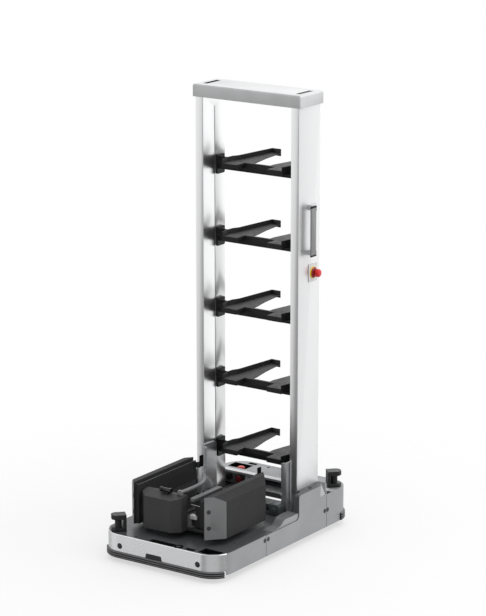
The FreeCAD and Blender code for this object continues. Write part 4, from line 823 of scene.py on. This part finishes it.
SCREW_SIDES = 24
SOCKET_SHARE = 0.5
DECK_SCREW_DROP = 1.5 * MM
FRONT_DECK_SCREWS = (
    (-154 * MM, 21 * MM - HALF_LENGTH), (-305 * MM, -376 * MM), (305 * MM, -376 * MM),
)
REAR_DECK_SCREWS = (
    (-136 * MM, HALF_LENGTH - 36 * MM), (136 * MM, HALF_LENGTH - 36 * MM), (20 * MM, 470 * MM),
)
LEDGE_SCREW = (HALF_WIDTH - 28 * MM, 245 * MM, WALL_TOP - 0.5 * MM)
FLANGE_SCREW = (233 * MM, COLUMN_FRONT, 245 * MM)
END_CAP_TAPER = 85 * MM
END_CAP_SCREW_DROPS = (76 * MM, 160 * MM)
END_CAP_SCREW_SHARE = 0.2


def screw_tree():
    """Socket-head screws: a stepped dome with a round socket on every point."""
    tree = ShapeTree("screw_heads", {
        "Radius": ("Float", 7.5 * MM), "Height": ("Float", 2 * MM), "Socket Share": ("Float", SOCKET_SHARE),
        "Finish": ("Material", None),
    })
    disc = tree.node("GeometryNodeMeshCircle", {"Vertices": SCREW_SIDES, "Radius": tree.given["Radius"]},
                     fill_type="NGON")
    base = tree.node("GeometryNodeFlipFaces", {"Mesh": disc.outputs["Mesh"]})
    shape = disc.outputs["Mesh"]
    top = {}
    rim, crown, depth = (tree.math("MULTIPLY", tree.given["Height"], share) for share in (0.6, 0.4, -0.7))
    for lift, ratio in ((rim, 1.0), (crown, 0.8), (0.0, tree.given["Socket Share"]), (depth, 0.94)):
        raised = tree.node("GeometryNodeExtrudeMesh", {
            "Mesh": shape, "Offset Scale": lift, **top}, mode="FACES")
        top = {"Selection": raised.outputs["Top"]}
        scaled = tree.node("GeometryNodeScaleElements", {
            "Geometry": raised.outputs["Mesh"], "Scale": ratio, **top}, domain="FACE")
        shape = scaled.outputs["Geometry"]
    joined = tree.node("GeometryNodeJoinGeometry")
    for half in (base.outputs["Mesh"], shape):
        feed(tree.tree, joined, {"Geometry": half})
    head = tree.node("GeometryNodeMergeByDistance", {
        "Geometry": joined.outputs["Geometry"], "Distance": 0.001 * MM})
    facing = tree.node("GeometryNodeInputNamedAttribute", {"Name": "facing"}, data_type="FLOAT_VECTOR")
    turn = tree.node("FunctionNodeAlignRotationToVector", {"Vector": facing.outputs["Attribute"]}, axis="Z")
    placed = tree.node("GeometryNodeInstanceOnPoints", {
        "Points": tree.given["Geometry"], "Instance": head.outputs["Geometry"],
        "Rotation": turn.outputs["Rotation"]})
    tree.finish(placed.outputs["Instances"])
    return tree


def points_with_facing(name, places):
    """Mesh of loose points that each carry the direction their screw faces."""
    mesh = bpy.data.meshes.new(name)
    mesh.from_pydata([place for place, _ in places], [], [])
    facing = mesh.attributes.new("facing", "FLOAT_VECTOR", "POINT")
    for point, (_, direction) in zip(facing.data, places):
        point.vector = direction
    return mesh


def screws(tree, name, places, body, radius, height, finish="screw_steel", replaces=()):
    """One piece of screw heads at (place, facing) pairs, with their sizes in millimetres."""
    mesh = tree.shape(name, points_with_facing(name + "_points", places), {
        "Radius": radius * MM, "Height": height * MM, "Socket Share": SOCKET_SHARE,
        "Finish": MATERIALS[finish]})
    add_piece(name, mesh, body, "screw_steel", replaces, finish)


def connected_groups(bm):
    """The vertices of each separate solid in a mesh."""
    groups = []
    seen = set()
    for start in bm.verts:
        if start in seen:
            continue
        group = [start]
        seen.add(start)
        for vert in group:
            for edge in vert.link_edges:
                other = edge.other_vert(vert)
                if other not in seen:
                    seen.add(other)
                    group.append(other)
        groups.append(group)
    return groups


def panel_screw_places():
    """Middle of each panel screw's outer face, read from the CAD solids' own points."""
    bm = welded("panel_screws")
    places = []
    for group in connected_groups(bm):
        xs, ys, zs = zip(*(vert.co for vert in group))
        side = 1 if xs[0] > 0 else -1
        place = (side * (HALF_WIDTH - 0.5 * MM), (min(ys) + max(ys)) / 2, (min(zs) + max(zs)) / 2)
        places.append((place, (side, 0, 0)))
    bm.free()
    return places


def end_cap_screw_places():
    """Two screws in the slanted end cap of each arm, seated in its counterbores."""
    (inner, _, _), (outer, _, top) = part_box("arm_cover_right")
    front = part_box("arm_end_caps")[0][1]
    width = outer - inner
    normal = Vector((END_CAP_TAPER, -width, 0)).normalized()
    x, y = inner + width * END_CAP_SCREW_SHARE, front + END_CAP_TAPER * END_CAP_SCREW_SHARE
    return [((side * x, y, top - drop), (side * normal.x, normal.y, 0))
            for drop in END_CAP_SCREW_DROPS for side, _ in SIDES]


def mirrored(place, facing):
    """A screw's place and facing on the left and on the right."""
    x, y, z = place
    return [((side * x, y, z), facing) for side, _ in SIDES]


def make_screws():
    tree = screw_tree()
    deck = [((x, y, top - DECK_SCREW_DROP), UP)
            for spots, top in ((FRONT_DECK_SCREWS, FRONT_DECK_TOP), (REAR_DECK_SCREWS, REAR_DECK_TOP))
            for x, y in spots]
    screws(tree, "panel_screw_heads", panel_screw_places(), "base", 12, 1.8, replaces=["panel_screws"])
    screws(tree, "deck_screw_heads", deck, "base", 7.6, 2.6, "seam_dark")
    screws(tree, "ledge_screw_heads", mirrored(LEDGE_SCREW, UP), "base", 11, 2.4, "tray_black")
    screws(tree, "end_cap_screw_heads", end_cap_screw_places(), "picker", 11, 2, "seam_dark")
    screws(tree, "flange_screw_heads", mirrored(FLANGE_SCREW, FORWARD), "carriage", 6, 4, "edge_bright")


# Bumpers: each strip's end of the base (-1 is the front), how many degrees of each corner it goes round,
# its bottom and its top

STRIPS = ((-1, 62, 23 * MM, 56.5 * MM), (1, 88, 35 * MM, 74.7 * MM))
STRIP_POINTS = 40
CORNER_STEPS = 24
BUMPER_INSET = 3 * MM
BUMPER_DEPTH = 9 * MM
RIB_DEPTH = 5 * MM
RIB_COUNT = 3


def bumper_tree():
    """Rubber strip swept along a path, with equal round ribs over its height."""
    tree = ShapeTree("ribbed_strip", {
        "Height": ("Float", 30 * MM), "Depth": ("Float", 12 * MM), "Rib Depth": ("Float", 4 * MM),
        "Ribs": ("Int", RIB_COUNT), "Finish": ("Material", None),
    })
    path = tree.node("GeometryNodeMeshToCurve", {"Mesh": tree.given["Geometry"]})
    level = tree.node("GeometryNodeSetCurveNormal", {"Curve": path.outputs["Curve"]}, mode="Z_UP")
    height = tree.node("ShaderNodeCombineXYZ", {"Y": tree.math("MULTIPLY", tree.given["Height"], -1.0)})
    line = tree.node("GeometryNodeCurvePrimitiveLine", {"End": height.outputs["Vector"]})
    fine = tree.node("GeometryNodeResampleCurve", {"Curve": line.outputs["Curve"], "Count": STRIP_POINTS})
    half_turn = tree.math("MULTIPLY", tree.node("GeometryNodeSplineParameter").outputs["Factor"], math.pi)
    wave = tree.math("ABSOLUTE", tree.math("SINE", tree.math("MULTIPLY", half_turn, tree.given["Ribs"])))
    rib = tree.math("MULTIPLY", tree.math("POWER", wave, 0.7), tree.given["Rib Depth"])
    face = tree.math("ADD", tree.math("SUBTRACT", tree.given["Depth"], tree.given["Rib Depth"]), rib)
    inside = tree.math("GREATER_THAN", tree.math("SINE", half_turn), 0.01)
    offset = tree.node("ShaderNodeCombineXYZ", {"X": tree.math("MULTIPLY", face, inside)})
    profile = tree.node("GeometryNodeSetPosition", {
        "Geometry": fine.outputs["Curve"], "Offset": offset.outputs["Vector"]})
    closed = tree.node("GeometryNodeSetSplineCyclic", {
        "Geometry": profile.outputs["Geometry"], "Cyclic": True})
    swept = tree.node("GeometryNodeCurveToMesh", {
        "Curve": level.outputs["Curve"], "Profile Curve": closed.outputs["Geometry"], "Fill Caps": True})
    tree.finish(swept.outputs["Mesh"])
    return tree


def strip_path(end, wrap, height):
    """Points round one end of the base, from side to side, on the strip's back."""
    radius = BASE_CORNER - BUMPER_INSET
    x, y = HALF_WIDTH - BASE_CORNER, HALF_LENGTH - BASE_CORNER
    start = math.radians(90 - wrap)
    angles = [start + (math.pi / 2 - start) * i / CORNER_STEPS for i in range(CORNER_STEPS + 1)]
    right = [(x + radius * math.cos(a), end * (y + radius * math.sin(a)), height) for a in angles]
    points = right + [(-px, py, pz) for px, py, pz in reversed(right)]
    if end < 0:
        points.reverse()
    mesh = bpy.data.meshes.new("strip_path")
    mesh.from_pydata(points, [(i, i + 1) for i in range(len(points) - 1)], [])
    return mesh


def make_bumpers():
    tree = bumper_tree()
    bm = bmesh.new()
    for end, wrap, bottom, top in STRIPS:
        bm.from_mesh(tree.shape("strip", strip_path(end, wrap, bottom), {
            "Height": top - bottom, "Depth": BUMPER_DEPTH + BUMPER_INSET, "Rib Depth": RIB_DEPTH,
            "Ribs": RIB_COUNT, "Finish": MATERIALS["bumper_rubber"]}))
    bmesh.ops.remove_doubles(bm, verts=bm.verts, dist=0.001 * MM)
    bmesh.ops.recalc_face_normals(bm, faces=bm.faces)
    piece = add_piece("bumper_strips", bm, "base", "bumper_rubber", ["bumpers"])
    smooth(piece.data, 60)
    # Painted highlight on the ribs' upward faces; painted shade, near black, on their downward faces
    paint_faces(piece, "rib_edge", lambda c, n: n.z > 0.4)
    paint_faces(piece, "recess_black", lambda c, n: n.z < -0.3)


make_screws()
make_bumpers()


# CAD nodes that are shown as they are get their own finish

def paint_nodes():
    for node, shown in NODES.items():
        if not shown.hide_render:
            shown.data.materials.clear()
            shown.data.materials.append(MATERIALS[SLOT_OF[node]])


paint_nodes()


# Floor: whole up to FLOOR_CLEAR metres from the middle and gone at FLOOR_GONE. The camera sees it mixed
# with FLOOR_WHITE of pure white, and gloss sees through it by FLOOR_OPEN.

BACKGROUND = 1.0
FLOOR_SIZE = 8.0
FLOOR_CLEAR = 1.1
FLOOR_GONE = 2.3
FLOOR_TONE = 0.78
FLOOR_WHITE = 0.6
FLOOR_OPEN = 0.8


def make_floor():
    """Pale floor that keeps the shadow and fades into the white background."""
    bm = bmesh.new()
    bmesh.ops.create_grid(bm, x_segments=1, y_segments=1, size=FLOOR_SIZE / 2)
    floor = linked("floor", finished_mesh("floor", bm))
    paint = Paint("floor_paint", 0.0)
    tone = (FLOOR_TONE,) * 3
    paint.set({
        "Base Color": paint.blend(paint.noise(0.6), tone, shade(tone, 1.01)),
        "Roughness": paint.spread(paint.noise(3.0), 0.85, 0.95),
    })
    distance = paint.node("ShaderNodeVectorMath", {0: paint.place}, operation="LENGTH").outputs["Value"]
    fade = paint.spread(distance, 0.0, 1.0, FLOOR_CLEAR, FLOOR_GONE)
    path = paint.node("ShaderNodeLightPath").outputs
    white = paint.node("ShaderNodeEmission", {"Color": (1, 1, 1, 1), "Strength": BACKGROUND}).outputs[0]
    clear = paint.node("ShaderNodeBsdfTransparent").outputs[0]
    shown = paint.shader.outputs[0]
    for share, strength, other in ((path["Is Camera Ray"], FLOOR_WHITE, white),
                                   (path["Is Glossy Ray"], FLOOR_OPEN, clear),
                                   (fade, 1.0, clear)):
        scaled = add_math(paint.tree, "MULTIPLY", share, strength)
        shown = paint.node("ShaderNodeMixShader", {0: scaled, 1: shown, 2: other}).outputs[0]
    feed(paint.tree, paint.tree.nodes["Material Output"], {"Surface": shown})
    floor.data.materials.append(paint.material)


# Light: the stops are compass directions in degrees, from +X towards +Y, each with the level that gloss
# sees. SHINE_TOP brightens gloss with height, and directions that sink through SHINE_FALL dim to SHINE_LOW.

LIGHT_MEAN = 0.72
LIGHT_LEAN = (0.23, 0.28, 0.61)
LIGHT_LEAST = 0.05
SHINE_STOPS = [
    (-180, 0.70), (-160, 0.95), (-146, 0.98), (-121, 0.80), (-112, 0.24), (-103, 0.26), (-80, 0.54),
    (-34, 0.50), (-16, 0.26), (13, 0.28), (27, 1.08), (54, 1.20), (120, 1.20), (150, 0.9), (172, 0.55),
    (180, 0.70),
]
SHINE_TOP = 0.15
SHINE_LOW = 0.72
SHINE_FALL = (-0.34, -0.17)
SOFTBOX_PLACE = (2.5, 1.0, 5.0)
SOFTBOX_TARGET = (0, 0, 0.8)
SOFTBOX_SIZE = 3.0
SOFTBOX_POWER = 45


def room_light(tree, direction):
    """Diffuse light, which grows towards one side of the room."""
    lean = add_node(tree, "ShaderNodeVectorMath", {0: direction, 1: LIGHT_LEAN}, operation="DOT_PRODUCT")
    return add_math(tree, "MAXIMUM", add_math(tree, "ADD", lean.outputs["Value"], LIGHT_MEAN), LIGHT_LEAST)


def place_stops(ramp):
    """Put a colour ramp's stops at the shine stops; their colours wait until all are in place."""
    stops = ramp.elements
    while len(stops) < len(SHINE_STOPS):
        stops.new(0.5)
    for stop, (angle, level) in zip(stops, SHINE_STOPS):
        stop.position = (angle + 180) / 360
    for stop, (angle, level) in zip(stops, SHINE_STOPS):
        stop.color = (level, level, level, 1)


def surroundings(tree, direction):
    """What gloss shows of the studio: pale walls with shaded stretches between them."""
    x, y, z = add_node(tree, "ShaderNodeSeparateXYZ", {0: direction}).outputs
    share = add_node(tree, "ShaderNodeMapRange", {
        "Value": add_math(tree, "ARCTAN2", y, x), "From Min": -math.pi, "From Max": math.pi})
    ramp = add_node(tree, "ShaderNodeValToRGB", {"Fac": share.outputs["Result"]})
    ramp.color_ramp.interpolation = "EASE"
    place_stops(ramp.color_ramp)
    walls = add_math(tree, "MULTIPLY_ADD", z, SHINE_TOP, ramp.outputs["Color"])
    low = add_node(tree, "ShaderNodeMapRange", {
        "Value": z, "From Min": SHINE_FALL[0], "From Max": SHINE_FALL[1], "To Min": SHINE_LOW, "To Max": 1.0})
    return add_math(tree, "MULTIPLY", walls, low.outputs["Result"])


def make_world():
    """White background; a soft studio light that leans to the right, rear and top."""
    world = bpy.data.worlds.new("room")
    bpy.context.scene.world = world
    world.use_nodes = True
    tree = world.node_tree
    path = add_node(tree, "ShaderNodeLightPath").outputs
    direction = add_node(tree, "ShaderNodeTexCoord").outputs["Generated"]
    in_gloss = add_math(tree, "MAXIMUM", path["Is Glossy Ray"], path["Is Transmission Ray"])
    level = room_light(tree, direction)
    for share, other in ((in_gloss, surroundings(tree, direction)), (path["Is Camera Ray"], BACKGROUND)):
        mix = add_node(tree, "ShaderNodeMix", {"Factor": share, "A": level, "B": other}, data_type="FLOAT")
        level = mix.outputs["Result"]
    feed(tree, tree.nodes["Background"], {"Color": (1, 1, 1, 1), "Strength": level})


def make_softbox():
    data = bpy.data.lights.new("top_softbox", "AREA")
    data.shape = "RECTANGLE"
    data.size = SOFTBOX_SIZE
    data.size_y = SOFTBOX_SIZE
    data.energy = SOFTBOX_POWER
    aim(linked("top_softbox", data), SOFTBOX_PLACE, SOFTBOX_TARGET)


make_floor()
make_world()
make_softbox()

bpy.context.scene.view_settings.view_transform = "Standard"
